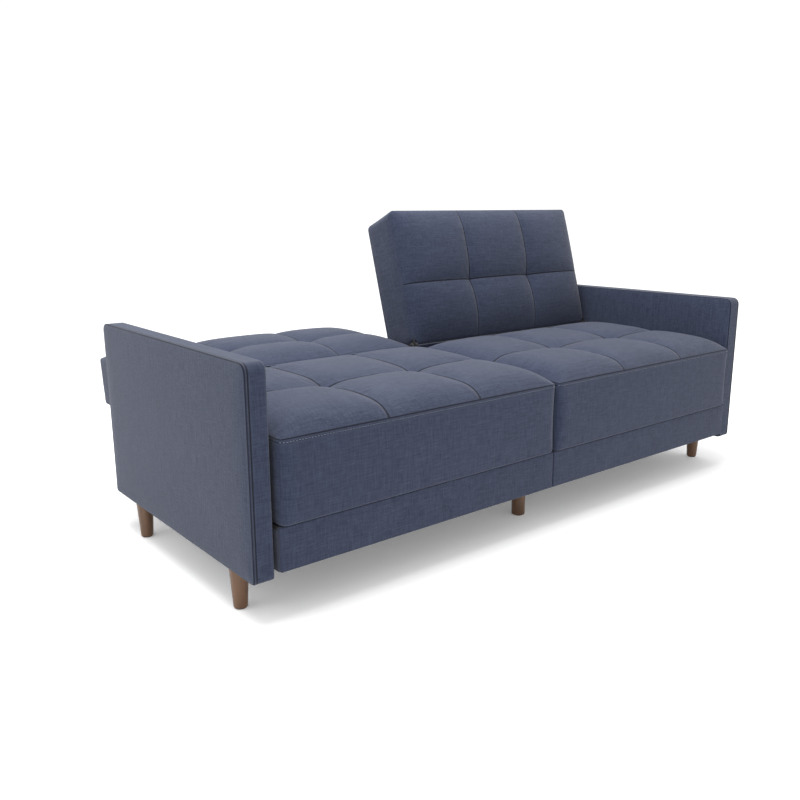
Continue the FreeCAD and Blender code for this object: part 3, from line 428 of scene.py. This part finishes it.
def arm_shape():
    """The arm's cover, with a along Y, b along Z and c across the arm, from its outer side inwards."""
    lo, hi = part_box("left_arm_cover")
    size = (hi.y - lo.y, hi.z - lo.z, hi.x - lo.x)
    A, B, C = size
    lines = (
        grid_line(A, ARM_STEP, ARM_EDGE_LINES),
        grid_line(B, ARM_STEP, ARM_EDGE_LINES),
        grid_line(C, ARM_EDGE_STEP, SEAM_LINES, (WELT_WIDTH,), SEAM_LINES[:1]),
    )
    places, quads = lattice_shell(lines)
    a, b, c = places.T
    points = round_block(places, size, ARM_RADII, ARM_EDGE_ROUND, ARM_EDGE_ROUND)
    inset = np.minimum(np.minimum(a, A - a), np.minimum(b, B - b))
    panel = (c < TINY) | (c > C - TINY)
    welt = np.exp(-(((c - WELT_WIDTH / 2) / WELT_ROUND) ** 2)) * (~panel)
    held = np.where(panel, 0.0, WELT_HOLD)
    held[panel & (inset < TINY)] = 1.0
    most = np.where(panel, ARM_FILL, ARM_EDGE_FILL)
    points = puff(points, quads, held, most, ARM_PRESSURE)
    centre = np.array([A / 2, B / 2])
    out = points[:, :2] - centre
    out /= np.maximum(np.linalg.norm(out, axis=1), SAFE)[:, None]
    points[:, :2] += out * (WELT_HIGH * welt)[:, None]
    to_line = np.minimum(np.minimum(c, np.abs(c - WELT_WIDTH)), C - c)
    seam = np.where(panel, inset, to_line)
    return (points, quads, places, seam), Vector(lo)


def apron_shape(node):
    """The cloth-faced board under a seat, with a along X, b along Z and c towards the front."""
    lo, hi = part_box(node)
    size = (hi.x - lo.x, hi.z - lo.z, hi.y - lo.y)
    lines = (
        grid_line(size[0], APRON_STEPS[0], SEAM_LINES),
        grid_line(size[1], APRON_STEPS[1], SEAM_LINES),
        grid_line(size[2], APRON_STEPS[2]),
    )
    places, quads = lattice_shell(lines)
    points = round_block(places, size, APRON_RADII, APRON_EDGE_ROUND, APRON_BACK_ROUND)
    a, b, c = places.T
    inset = np.minimum(np.minimum(a, size[0] - a), np.minimum(b, size[1] - b))
    slow = np.array([noise.noise(Vector((x * 7, y * 7, 5.1))) for x, y in zip(a, b)])
    front = c > size[2] - TINY
    bulge = (APRON_CROWN + APRON_CROWN * slow) * (1 - np.exp(-inset / APRON_SOFTNESS))
    points[:, 2] += np.where(front, bulge, 0.0)
    return (points, quads, places, np.full(len(a), 1.0)), Vector(lo)


# ------------------------------------------------------------------ placing the covers
def finish_cover(name, points, quads, places, seam, body, nodes, flipped=False):
    """Makes the piece, smooths it, gives it its body and its cloth marks, and hides the nodes it replaces."""
    quads = quads[:, ::-1] if flipped else quads
    piece = make_mesh(name, points, quads)
    give_marks(piece.data, seam, places)
    piece.data.polygons.foreach_set("use_smooth", [True] * len(piece.data.polygons))
    smooth = piece.modifiers.new("smooth", "SUBSURF")
    smooth.levels = 1
    smooth.render_levels = 1
    graph = bpy.context.evaluated_depsgraph_get()
    mesh = bpy.data.meshes.new_from_object(piece.evaluated_get(graph))
    piece.modifiers.clear()
    piece.data = mesh
    piece.data.materials.clear()
    piece.data.materials.append(MATERIALS["linen"])
    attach(piece, body)
    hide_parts(*nodes)


def turned_back(points):
    """The flat back's points, stood up about the hinge."""
    turn = np.array(Matrix.Rotation(UPRIGHT, 3, "X"))
    pivot = np.array([0.0, HINGE.y, HINGE.z])
    return (points - pivot) @ turn.T + pivot


def make_seats():
    """Both seats, the left one a mirror image, and the path of each one's row of stitches."""
    paths = {}
    (points, quads, places, seam), lo = seat_shape(1)
    for side in ("right", "left"):
        placed = points + np.array(lo)
        flipped = side == "left"
        if flipped:
            placed = placed * np.array(MIRROR)
        node = side + "_seat_cushion"
        finish_cover(side + "_seat_cover", placed, quads, places, seam, "sofa", [node], flipped)
        paths[side] = stitch_path(placed, places)
    return paths


def make_backs():
    """Both backs, the right one a mirror image that stands up."""
    (points, quads, places, seam), lo = back_shape(3)
    for side in ("left", "right"):
        placed = points + np.array(lo)
        flipped = side == "right"
        if flipped:
            placed = turned_back(placed * np.array(MIRROR))
        body, nodes = BODY_OF_SIDE[side], [side + "_back_cushion", side + "_back_rear_panel"]
        finish_cover(side + "_back_cover", placed, quads, places, seam, body, nodes, flipped)


def stitch_path(points, places):
    """The row of points just under the edge seam, along the front of a cover."""
    high = places[:, 2].max() - TOPSTITCH_DROP
    row = np.abs(places[:, 2] - high) < TINY
    front = np.nonzero(row & (places[:, 1] < TINY))[0]
    front = front[np.argsort(places[front, 0])]
    return points[front]


def make_arms():
    (points, quads, places, seam), lo = arm_shape()
    world = np.stack([points[:, 2], points[:, 0], points[:, 1]], axis=1)
    cloth = np.stack([places[:, 2], places[:, 0], places[:, 1]], axis=1)
    for side in ("left", "right"):
        placed = world + np.array(lo)
        flipped = side == "right"
        if flipped:
            placed = placed * np.array(MIRROR)
        node = side + "_arm_cover"
        finish_cover(side + "_arm_padding", placed, quads, cloth, seam, "sofa", [node], flipped)


def make_aprons():
    for side in ("left", "right"):
        (points, quads, places, seam), lo = apron_shape(side + "_apron")
        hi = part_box(side + "_apron")[1]
        placed = np.stack([lo.x + points[:, 0], hi.y - points[:, 2], lo.z + points[:, 1]], axis=1)
        cloth = np.stack([places[:, 0], places[:, 2], places[:, 1]], axis=1)
        finish_cover(side + "_apron_cover", placed, quads, cloth, seam, "sofa", [side + "_apron"])


def make_crease_strips():
    """The cloth that closes the crease between each seat and its back. Its head is half round about the
    hinge axis, so the back turns round it, and the rest hangs between the two cushions."""
    half, round_head = CREASE_CLOTH / 2, CREASE_HEAD_RADIUS
    across = np.array(CREASE_HEAD_LINES) * round_head
    neck = [-half - CREASE_NECK, -half, half, half + CREASE_NECK]
    across = np.concatenate([-across, neck, across[::-1]])
    for side in ("left", "right"):
        lo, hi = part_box(side + "_seat_cushion")
        along = grid_line(hi.x - lo.x - 2 * CREASE_END_GAP, CREASE_STEP)
        places, quads = lattice_shell((along, across, np.array([0.0, 1.0])))
        a, b, c = places.T
        hang = HINGE.z - lo.z - CREASE_FOOT
        drop = np.where(np.abs(b) < half + TINY, hang, np.sqrt(round_head**2 - b**2))
        points = np.stack([lo.x + CREASE_END_GAP + a, HINGE.y + b, HINGE.z - drop * (1 - c)], axis=1)
        piece = make_mesh(side + "_crease_cloth", points, quads)
        give_marks(piece.data, np.ones(len(points)), points)
        piece.data.materials.append(MATERIALS["linen"])
        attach(piece, "sofa")


# ------------------------------------------------------------------ stitches
def stitch_tree():
    """Geometry nodes that lay one short thread at each pitch along a path."""
    tree = bpy.data.node_groups.new("topstitch_row", "GeometryNodeTree")
    face = tree.interface
    face.new_socket("Path", in_out="INPUT", socket_type="NodeSocketGeometry")
    for name, value in (("Pitch", STITCH_PITCH), ("Long", STITCH_LONG), ("Radius", STITCH_RADIUS)):
        face.new_socket(name, in_out="INPUT", socket_type="NodeSocketFloat").default_value = value
    face.new_socket("Thread", in_out="INPUT", socket_type="NodeSocketMaterial")
    face.new_socket("Stitches", in_out="OUTPUT", socket_type="NodeSocketGeometry")
    nodes, links = tree.nodes, tree.links
    source = nodes.new("NodeGroupInput")
    sink = nodes.new("NodeGroupOutput")
    line = nodes.new("GeometryNodeResampleCurve")
    line.mode = "LENGTH"
    links.new(source.outputs["Path"], line.inputs["Curve"])
    links.new(source.outputs["Pitch"], line.inputs["Length"])
    thread = nodes.new("GeometryNodeMeshCylinder")
    thread.inputs["Vertices"].default_value = 6
    links.new(source.outputs["Radius"], thread.inputs["Radius"])
    links.new(source.outputs["Long"], thread.inputs["Depth"])
    tangent = nodes.new("GeometryNodeInputTangent")
    turn = nodes.new("FunctionNodeAlignRotationToVector")
    turn.axis = "Z"
    links.new(tangent.outputs["Tangent"], turn.inputs["Vector"])
    place = nodes.new("GeometryNodeInstanceOnPoints")
    links.new(line.outputs["Curve"], place.inputs["Points"])
    links.new(thread.outputs["Mesh"], place.inputs["Instance"])
    links.new(turn.outputs["Rotation"], place.inputs["Rotation"])
    real = nodes.new("GeometryNodeRealizeInstances")
    links.new(place.outputs["Instances"], real.inputs["Geometry"])
    paint = nodes.new("GeometryNodeSetMaterial")
    links.new(real.outputs["Geometry"], paint.inputs["Geometry"])
    links.new(source.outputs["Thread"], paint.inputs["Material"])
    links.new(paint.outputs["Geometry"], sink.inputs["Stitches"])
    return tree


def lay_stitches(name, paths, body, tree):
    """One mesh of stitches along every path, which all belong to one body."""
    curve = bpy.data.curves.new(name + "_path", "CURVE")
    curve.dimensions = "3D"
    for path in paths:
        spline = curve.splines.new("POLY")
        spline.points.add(len(path) - 1)
        spline.points.foreach_set("co", np.c_[path, np.ones(len(path))].ravel())
    line = bpy.data.objects.new(name + "_path", curve)
    bpy.context.scene.collection.objects.link(line)
    rows = line.modifiers.new("stitches", "NODES")
    rows.node_group = tree
    thread = next(s for s in tree.interface.items_tree if s.name == "Thread").identifier
    rows[thread] = MATERIALS["thread"]
    graph = bpy.context.evaluated_depsgraph_get()
    mesh = bpy.data.meshes.new_from_object(line.evaluated_get(graph))
    line.modifiers.clear()
    bpy.data.objects.remove(line)
    if not mesh.materials:
        mesh.materials.append(MATERIALS["thread"])
    piece = bpy.data.objects.new(name, mesh)
    bpy.context.scene.collection.objects.link(piece)
    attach(piece, body)


def make_stitching(seat_paths):
    """The row of stitches under the front edge seam of both seats."""
    proud = np.array([0, -STITCH_PROUD, 0])
    paths = [seat_paths[side] + proud for side in ("left", "right")]
    lay_stitches("seat_topstitching", paths, "sofa", stitch_tree())


# ------------------------------------------------------------------ shader groups
def new_group(name, inputs, outputs):
    tree = bpy.data.node_groups.new(name, "ShaderNodeTree")
    for label, kind, value in inputs:
        socket = tree.interface.new_socket(label, in_out="INPUT", socket_type=kind)
        if value is not None:
            socket.default_value = value
    for label, kind in outputs:
        tree.interface.new_socket(label, in_out="OUTPUT", socket_type=kind)
    return tree, tree.nodes.new("NodeGroupInput"), tree.nodes.new("NodeGroupOutput")


def math_node(tree, operation, a, b=None, c=None, clamp=False):
    node = tree.nodes.new("ShaderNodeMath")
    node.operation = operation
    node.use_clamp = clamp
    for socket, value in zip(node.inputs, (a, b, c)):
        if value is None:
            continue
        if isinstance(value, (int, float)):
            socket.default_value = value
        else:
            tree.links.new(value, socket)
    return node.outputs[0]


def stretched_noise(tree, coordinate, scale, detail=2.0):
    """Noise whose grain is set apart for each axis, in cycles per metre."""
    place = tree.nodes.new("ShaderNodeMapping")
    place.inputs["Scale"].default_value = scale
    tree.links.new(coordinate, place.inputs["Vector"])
    grain = tree.nodes.new("ShaderNodeTexNoise")
    grain.inputs["Scale"].default_value = 1.0
    grain.inputs["Detail"].default_value = detail
    tree.links.new(place.outputs["Vector"], grain.inputs["Vector"])
    return grain.outputs["Fac"]


YARN_GRAIN = (30, 420)  # cycles per metre along a yarn and across it
SLUB_GRAIN = (14, 170)
SLUB_SHARE = 0.7
MEAN_NOISE = 0.5


def along_axis(axis, along, across):
    """Cycles per metre for noise that is drawn out along one axis."""
    return tuple(along if i == axis else across for i in range(3))


def linen_group():
    """Slubbed plain weave: Tone is about 0.5, lighter and darker by the yarn, and Height is for its bump."""
    tree, source, sink = new_group(
        "linen_weave",
        [
            ("Coordinate", "NodeSocketVector", None),
            ("Slub", "NodeSocketFloat", 1.0),
            ("Thread Pitch", "NodeSocketFloat", 0.0013),
        ],
        [("Tone", "NodeSocketFloat"), ("Height", "NodeSocketFloat")],
    )
    coordinate = source.outputs["Coordinate"]
    yarns = [stretched_noise(tree, coordinate, along_axis(axis, *YARN_GRAIN)) for axis in range(3)]
    broad = [stretched_noise(tree, coordinate, along_axis(axis, *SLUB_GRAIN)) for axis in (0, 2)]
    total = math_node(tree, "ADD", math_node(tree, "ADD", yarns[0], yarns[1]), yarns[2])
    wide = math_node(tree, "ADD", broad[0], broad[1])
    both = math_node(tree, "MULTIPLY_ADD", wide, SLUB_SHARE, total)
    centred = math_node(tree, "SUBTRACT", both, (len(yarns) + len(broad) * SLUB_SHARE) * MEAN_NOISE)
    slubbed = math_node(tree, "MULTIPLY", centred, source.outputs["Slub"])
    tone = math_node(tree, "MULTIPLY_ADD", slubbed, 0.5, 0.5)
    split = tree.nodes.new("ShaderNodeSeparateXYZ")
    tree.links.new(coordinate, split.inputs[0])
    turns = math_node(tree, "DIVIDE", math.pi, source.outputs["Thread Pitch"])
    waves = [math_node(tree, "SINE", math_node(tree, "MULTIPLY", out, turns)) for out in split.outputs]
    weave = math_node(tree, "MULTIPLY", waves[0], waves[1])
    weave = math_node(tree, "MULTIPLY_ADD", waves[1], waves[2], weave)
    weave = math_node(tree, "MULTIPLY_ADD", waves[0], waves[2], weave)
    height = math_node(tree, "MULTIPLY_ADD", weave, 0.25, math_node(tree, "MULTIPLY", centred, 0.9))
    tree.links.new(tone, sink.inputs["Tone"])
    tree.links.new(height, sink.inputs["Height"])
    return tree


def seam_group():
    """Line is 1 on a sewn seam. The other output is 1 on the cloth standing up beside it: a painted highlight."""
    tree, source, sink = new_group(
        "sewn_seam",
        [("Distance", "NodeSocketFloat", 1.0), ("Half Width", "NodeSocketFloat", 0.0014)],
        [("Line", "NodeSocketFloat"), ("Highlight", "NodeSocketFloat")],
    )
    ratio = math_node(tree, "DIVIDE", source.outputs["Distance"], source.outputs["Half Width"])
    line = math_node(tree, "SUBTRACT", 1.6, ratio, clamp=True)
    near = math_node(tree, "SUBTRACT", 1.0, math_node(tree, "DIVIDE", ratio, 8.0), clamp=True)
    away = math_node(tree, "SUBTRACT", 1.0, line, clamp=True)
    highlight_band = math_node(tree, "MULTIPLY", math_node(tree, "MULTIPLY", near, near), away)
    tree.links.new(line, sink.inputs["Line"])
    tree.links.new(highlight_band, sink.inputs["Highlight"])
    return tree


def grain_group():
    """Grain along Z in a turned or sawn piece: Tone and Height."""
    tree, source, sink = new_group(
        "timber_grain",
        [("Coordinate", "NodeSocketVector", None), ("Contrast", "NodeSocketFloat", 1.0)],
        [("Tone", "NodeSocketFloat"), ("Height", "NodeSocketFloat")],
    )
    coordinate = source.outputs["Coordinate"]
    figure = stretched_noise(tree, coordinate, (45, 45, 5), 4.0)
    pores = stretched_noise(tree, coordinate, (900, 900, 40), 2.0)
    mixed = math_node(tree, "MULTIPLY_ADD", math_node(tree, "SUBTRACT", pores, 0.5), 0.5, figure)
    centred = math_node(tree, "SUBTRACT", mixed, 0.5)
    contrasted = math_node(tree, "MULTIPLY", centred, source.outputs["Contrast"])
    tone = math_node(tree, "MULTIPLY_ADD", contrasted, 1.6, 0.5)
    tree.links.new(tone, sink.inputs["Tone"])
    tree.links.new(pores, sink.inputs["Height"])
    return tree


def mottle_group():
    """Slow and fine unevenness for plain finishes: Tone is about 0.5."""
    tree, source, sink = new_group(
        "fine_mottle",
        [("Coordinate", "NodeSocketVector", None), ("Scale", "NodeSocketFloat", 120.0)],
        [("Tone", "NodeSocketFloat")],
    )
    grain = tree.nodes.new("ShaderNodeTexNoise")
    grain.inputs["Detail"].default_value = 5
    tree.links.new(source.outputs["Coordinate"], grain.inputs["Vector"])
    tree.links.new(source.outputs["Scale"], grain.inputs["Scale"])
    tree.links.new(grain.outputs["Fac"], sink.inputs["Tone"])
    return tree


# ------------------------------------------------------------------ materials
def new_material(name, roughness, metallic=0.0, **plain):
    """A Principled material. plain sets sockets that are the same all over."""
    material = bpy.data.materials.new(name)
    material.use_nodes = True
    shader = material.node_tree.nodes["Principled BSDF"]
    shader.inputs["Roughness"].default_value = roughness
    shader.inputs["Metallic"].default_value = metallic
    for label, value in plain.items():
        shader.inputs[label.replace("_", " ")].default_value = value
    return material, material.node_tree, shader


def place_group(tree, group, **inputs):
    node = tree.nodes.new("ShaderNodeGroup")
    node.node_tree = group
    for label, value in inputs.items():
        socket = node.inputs[label.replace("_", " ")]
        if isinstance(value, (int, float)):
            socket.default_value = value
        else:
            tree.links.new(value, socket)
    return node


def blend_colours(tree, factor, low, high):
    mix = tree.nodes.new("ShaderNodeMix")
    mix.data_type = "RGBA"
    tree.links.new(factor, mix.inputs[0])
    for socket, value in ((mix.inputs[6], low), (mix.inputs[7], high)):
        if isinstance(value, tuple):
            socket.default_value = (*value, 1)
        else:
            tree.links.new(value, socket)
    return mix.outputs[2]


def add_bump(tree, shader, height, strength, distance):
    bump = tree.nodes.new("ShaderNodeBump")
    bump.inputs["Strength"].default_value = strength
    bump.inputs["Distance"].default_value = distance
    tree.links.new(height, bump.inputs["Height"])
    tree.links.new(bump.outputs["Normal"], shader.inputs["Normal"])


def read_mark(tree, name, output):
    mark = tree.nodes.new("ShaderNodeAttribute")
    mark.attribute_name = name
    return mark.outputs[output]


def object_place(tree):
    return tree.nodes.new("ShaderNodeTexCoord").outputs["Object"]


LINEN_DARK = (0.0108, 0.0152, 0.034)
LINEN_LIGHT = (0.053, 0.0645, 0.105)
# painted highlight: the lighter colour of the cloth that stands up beside a seam
LINEN_SEAM_HIGHLIGHT = (0.061, 0.073, 0.111)
SEAM_SHADE = (0.004, 0.005, 0.010)
LINEN_ROUGHNESS = 0.92
LINEN_SHEEN = {"Sheen_Weight": 0.15, "Sheen_Roughness": 0.45}
LINEN_SLUB = 1.5
LINEN_PITCH = 0.0013
LINEN_BUMP = (0.55, 0.0006)  # strength, and height in metres


def linen_material():
    material, tree, shader = new_material("slate_linen", LINEN_ROUGHNESS, **LINEN_SHEEN)
    shader.inputs["Specular IOR Level"].default_value = 0.18
    cloth = read_mark(tree, "cloth", "Vector")
    weave = place_group(tree, GROUPS["linen"], Coordinate=cloth, Slub=LINEN_SLUB, Thread_Pitch=LINEN_PITCH)
    seam = place_group(tree, GROUPS["seam"], Distance=read_mark(tree, "seam", "Fac"), Half_Width=0.0017)
    yarn = blend_colours(tree, weave.outputs["Tone"], LINEN_DARK, LINEN_LIGHT)
    patch = place_group(tree, GROUPS["mottle"], Coordinate=cloth, Scale=6.0)
    patchy = math_node(tree, "MULTIPLY_ADD", patch.outputs["Tone"], 0.3, 0.7, clamp=True)
    uneven = blend_colours(tree, patchy, LINEN_DARK, yarn)
    # paints a highlight on the cloth beside each seam
    soft = blend_colours(tree, math_node(tree, "MULTIPLY", seam.outputs["Highlight"], 0.25), uneven, LINEN_SEAM_HIGHLIGHT)
    sewn = blend_colours(tree, math_node(tree, "MULTIPLY", seam.outputs["Line"], 0.92), soft, SEAM_SHADE)
    tree.links.new(sewn, shader.inputs["Base Color"])
    groove = math_node(tree, "MULTIPLY_ADD", seam.outputs["Line"], -2.5, weave.outputs["Height"])
    add_bump(tree, shader, groove, *LINEN_BUMP)
    return material


def thread_material():
    material, tree, shader = new_material("topstitch_thread", 0.75, Sheen_Weight=0.2)
    grain = stretched_noise(tree, object_place(tree), (900, 300, 900))
    paint = blend_colours(tree, grain, (0.11, 0.13, 0.19), (0.20, 0.23, 0.31))
    tree.links.new(paint, shader.inputs["Base Color"])
    add_bump(tree, shader, grain, 0.4, 0.0002)
    return material


def timber_material(name, dark, light, roughness, coat=0.0, contrast=1.0):
    material, tree, shader = new_material(name, roughness, Coat_Weight=coat)
    grain = place_group(tree, GROUPS["grain"], Coordinate=object_place(tree), Contrast=contrast)
    tree.links.new(blend_colours(tree, grain.outputs["Tone"], dark, light), shader.inputs["Base Color"])
    rough = math_node(tree, "MULTIPLY_ADD", grain.outputs["Tone"], 0.12, roughness - 0.06)
    tree.links.new(rough, shader.inputs["Roughness"])
    add_bump(tree, shader, grain.outputs["Height"], 0.15, 0.0003)
    return material


def mottled_material(name, dark, light, roughness, scale, metallic=0.0, bump=0.2):
    material, tree, shader = new_material(name, roughness, metallic)
    spots = place_group(tree, GROUPS["mottle"], Coordinate=object_place(tree), Scale=scale)
    tone = spots.outputs["Tone"]
    tree.links.new(blend_colours(tree, tone, dark, light), shader.inputs["Base Color"])
    rough = math_node(tree, "MULTIPLY_ADD", tone, 0.16, roughness - 0.08)
    tree.links.new(rough, shader.inputs["Roughness"])
    add_bump(tree, shader, tone, bump, 0.0003)
    return material


def wrap_material():
    """The same linen where it wraps a board and carries no cloth marks of its own."""
    material, tree, shader = new_material("linen_wrap", LINEN_ROUGHNESS, **LINEN_SHEEN)
    place = object_place(tree)
    weave = place_group(tree, GROUPS["linen"], Coordinate=place, Slub=LINEN_SLUB, Thread_Pitch=LINEN_PITCH)
    paint = blend_colours(tree, weave.outputs["Tone"], LINEN_DARK, LINEN_LIGHT)
    tree.links.new(paint, shader.inputs["Base Color"])
    add_bump(tree, shader, weave.outputs["Height"], *LINEN_BUMP)
    return material


def woven_material(name, dark, light, pitch):
    material, tree, shader = new_material(name, 0.9)
    weave = place_group(tree, GROUPS["linen"], Coordinate=object_place(tree), Slub=0.8, Thread_Pitch=pitch)
    tree.links.new(blend_colours(tree, weave.outputs["Tone"], dark, light), shader.inputs["Base Color"])
    add_bump(tree, shader, weave.outputs["Height"], 0.5, 0.0006)
    return material


GROUPS = {"linen": linen_group(), "seam": seam_group(), "grain": grain_group(), "mottle": mottle_group()}
MATERIALS = {
    "linen": linen_material(),
    "wrapped_board": wrap_material(),
    "thread": thread_material(),
    "walnut": timber_material("walnut_stain", (0.049, 0.018, 0.005), (0.152, 0.066, 0.020), 0.42, 0.15),
    "timber": timber_material("planed_pine", (0.42, 0.29, 0.16), (0.66, 0.51, 0.32), 0.6),
    "hardboard": mottled_material("pressed_board", (0.17, 0.10, 0.055), (0.30, 0.19, 0.11), 0.7, 400.0),
    "coil_cloth": woven_material("spring_sleeve_cloth", (0.62, 0.60, 0.55), (0.80, 0.79, 0.74), 0.002),
    "strap": woven_material("elastic_webbing", (0.035, 0.028, 0.022), (0.12, 0.095, 0.07), 0.003),
    "lining": woven_material("black_lining", (0.006, 0.006, 0.008), (0.03, 0.03, 0.034), 0.0016),
    "deck_board": woven_material("black_deck_cloth", (0.008, 0.008, 0.010), (0.032, 0.032, 0.036), 0.0016),
    "black_steel": mottled_material(
        "black_powder_coat", (0.010, 0.010, 0.012), (0.026, 0.026, 0.029), 0.5, 900.0, bump=0.35
    ),
    "zinc_steel": mottled_material("zinc_plate", (0.38, 0.38, 0.36), (0.62, 0.62, 0.59), 0.36, 260.0, 1.0),
    "glide_plastic": mottled_material("nylon_glide", (0.012, 0.012, 0.012), (0.03, 0.03, 0.03), 0.55, 500.0),
}


def paint_nodes():
    """Each node that is still shown takes its slot's material."""
    for entry in frame["record"]["subparts"]:
        node = frame["nodes"][entry["node"]]
        name = entry["material_slot"]
        material = MATERIALS.get(name, MATERIALS["linen"])
        node.data.materials.clear()
        node.data.materials.append(material)


# ------------------------------------------------------------------ floor, light and camera
def make_stage():
    mesh = bpy.data.meshes.new("studio_floor")
    r = FLOOR_REACH
    mesh.from_pydata([(-r, -r, 0), (r, -r, 0), (r, r, 0), (-r, r, 0)], [], [(0, 1, 2, 3)])
    floor = bpy.data.objects.new("studio_floor", mesh)
    bpy.context.scene.collection.objects.link(floor)
    # painted light: the floor glows faintly, which lightens the shadow under the sofa and the sofa's lower faces
    material, tree, shader = new_material("glowing_pale_floor", 0.9, Emission_Strength=0.16)
    shader.inputs["Emission Color"].default_value = (1, 1, 1, 1)
    spots = place_group(tree, GROUPS["mottle"], Coordinate=object_place(tree), Scale=0.6)
    paint = blend_colours(tree, spots.outputs["Tone"], (0.93, 0.93, 0.93), (0.95, 0.95, 0.95))
    tree.links.new(paint, shader.inputs["Base Color"])
    mesh.materials.append(material)


def area_light(name, place, wide, power):
    lamp = bpy.data.lights.new(name, "AREA")
    lamp.shape = "SQUARE"
    lamp.size = wide
    lamp.energy = power
    holder = bpy.data.objects.new(name, lamp)
    holder.location = place
    holder.rotation_euler = (Vector(LIGHT_AIM) - Vector(place)).to_track_quat("-Z", "Y").to_euler()
    bpy.context.scene.collection.objects.link(holder)


def make_lights():
    world = bpy.data.worlds.new("studio")
    world.use_nodes = True
    sky = world.node_tree.nodes["Background"]
    sky.inputs["Color"].default_value = (1, 1, 1, 1)
    sky.inputs["Strength"].default_value = SKY_STRENGTH
    bpy.context.scene.world = world
    for light in LIGHTS:
        area_light(*light)


def make_camera():
    data = bpy.data.cameras.new("studio_camera")
    data.lens = CAMERA_LENS
    data.sensor_width = 36
    camera = bpy.data.objects.new("studio_camera", data)
    heading, down, roll = (math.radians(v) for v in (CAMERA_HEADING, CAMERA_DOWN, CAMERA_ROLL))
    ahead = Vector((math.sin(heading) * math.cos(down), math.cos(heading) * math.cos(down), -math.sin(down)))
    right = Vector((math.cos(heading), -math.sin(heading), 0))
    up = right.cross(ahead)
    rolled = math.cos(roll) * right + math.sin(roll) * up
    up = math.cos(roll) * up - math.sin(roll) * right
    right = rolled
    turn = Matrix((right, up, -ahead)).transposed()
    camera.matrix_world = Matrix.Translation(CAMERA_PLACE) @ turn.to_4x4()
    bpy.context.scene.collection.objects.link(camera)
    bpy.context.scene.camera = camera


paint_nodes()
seat_paths = make_seats()
make_backs()
make_arms()
make_aprons()
make_crease_strips()
make_stitching(seat_paths)
make_stage()
make_lights()
make_camera()
bpy.context.scene.view_settings.view_transform = "Standard"
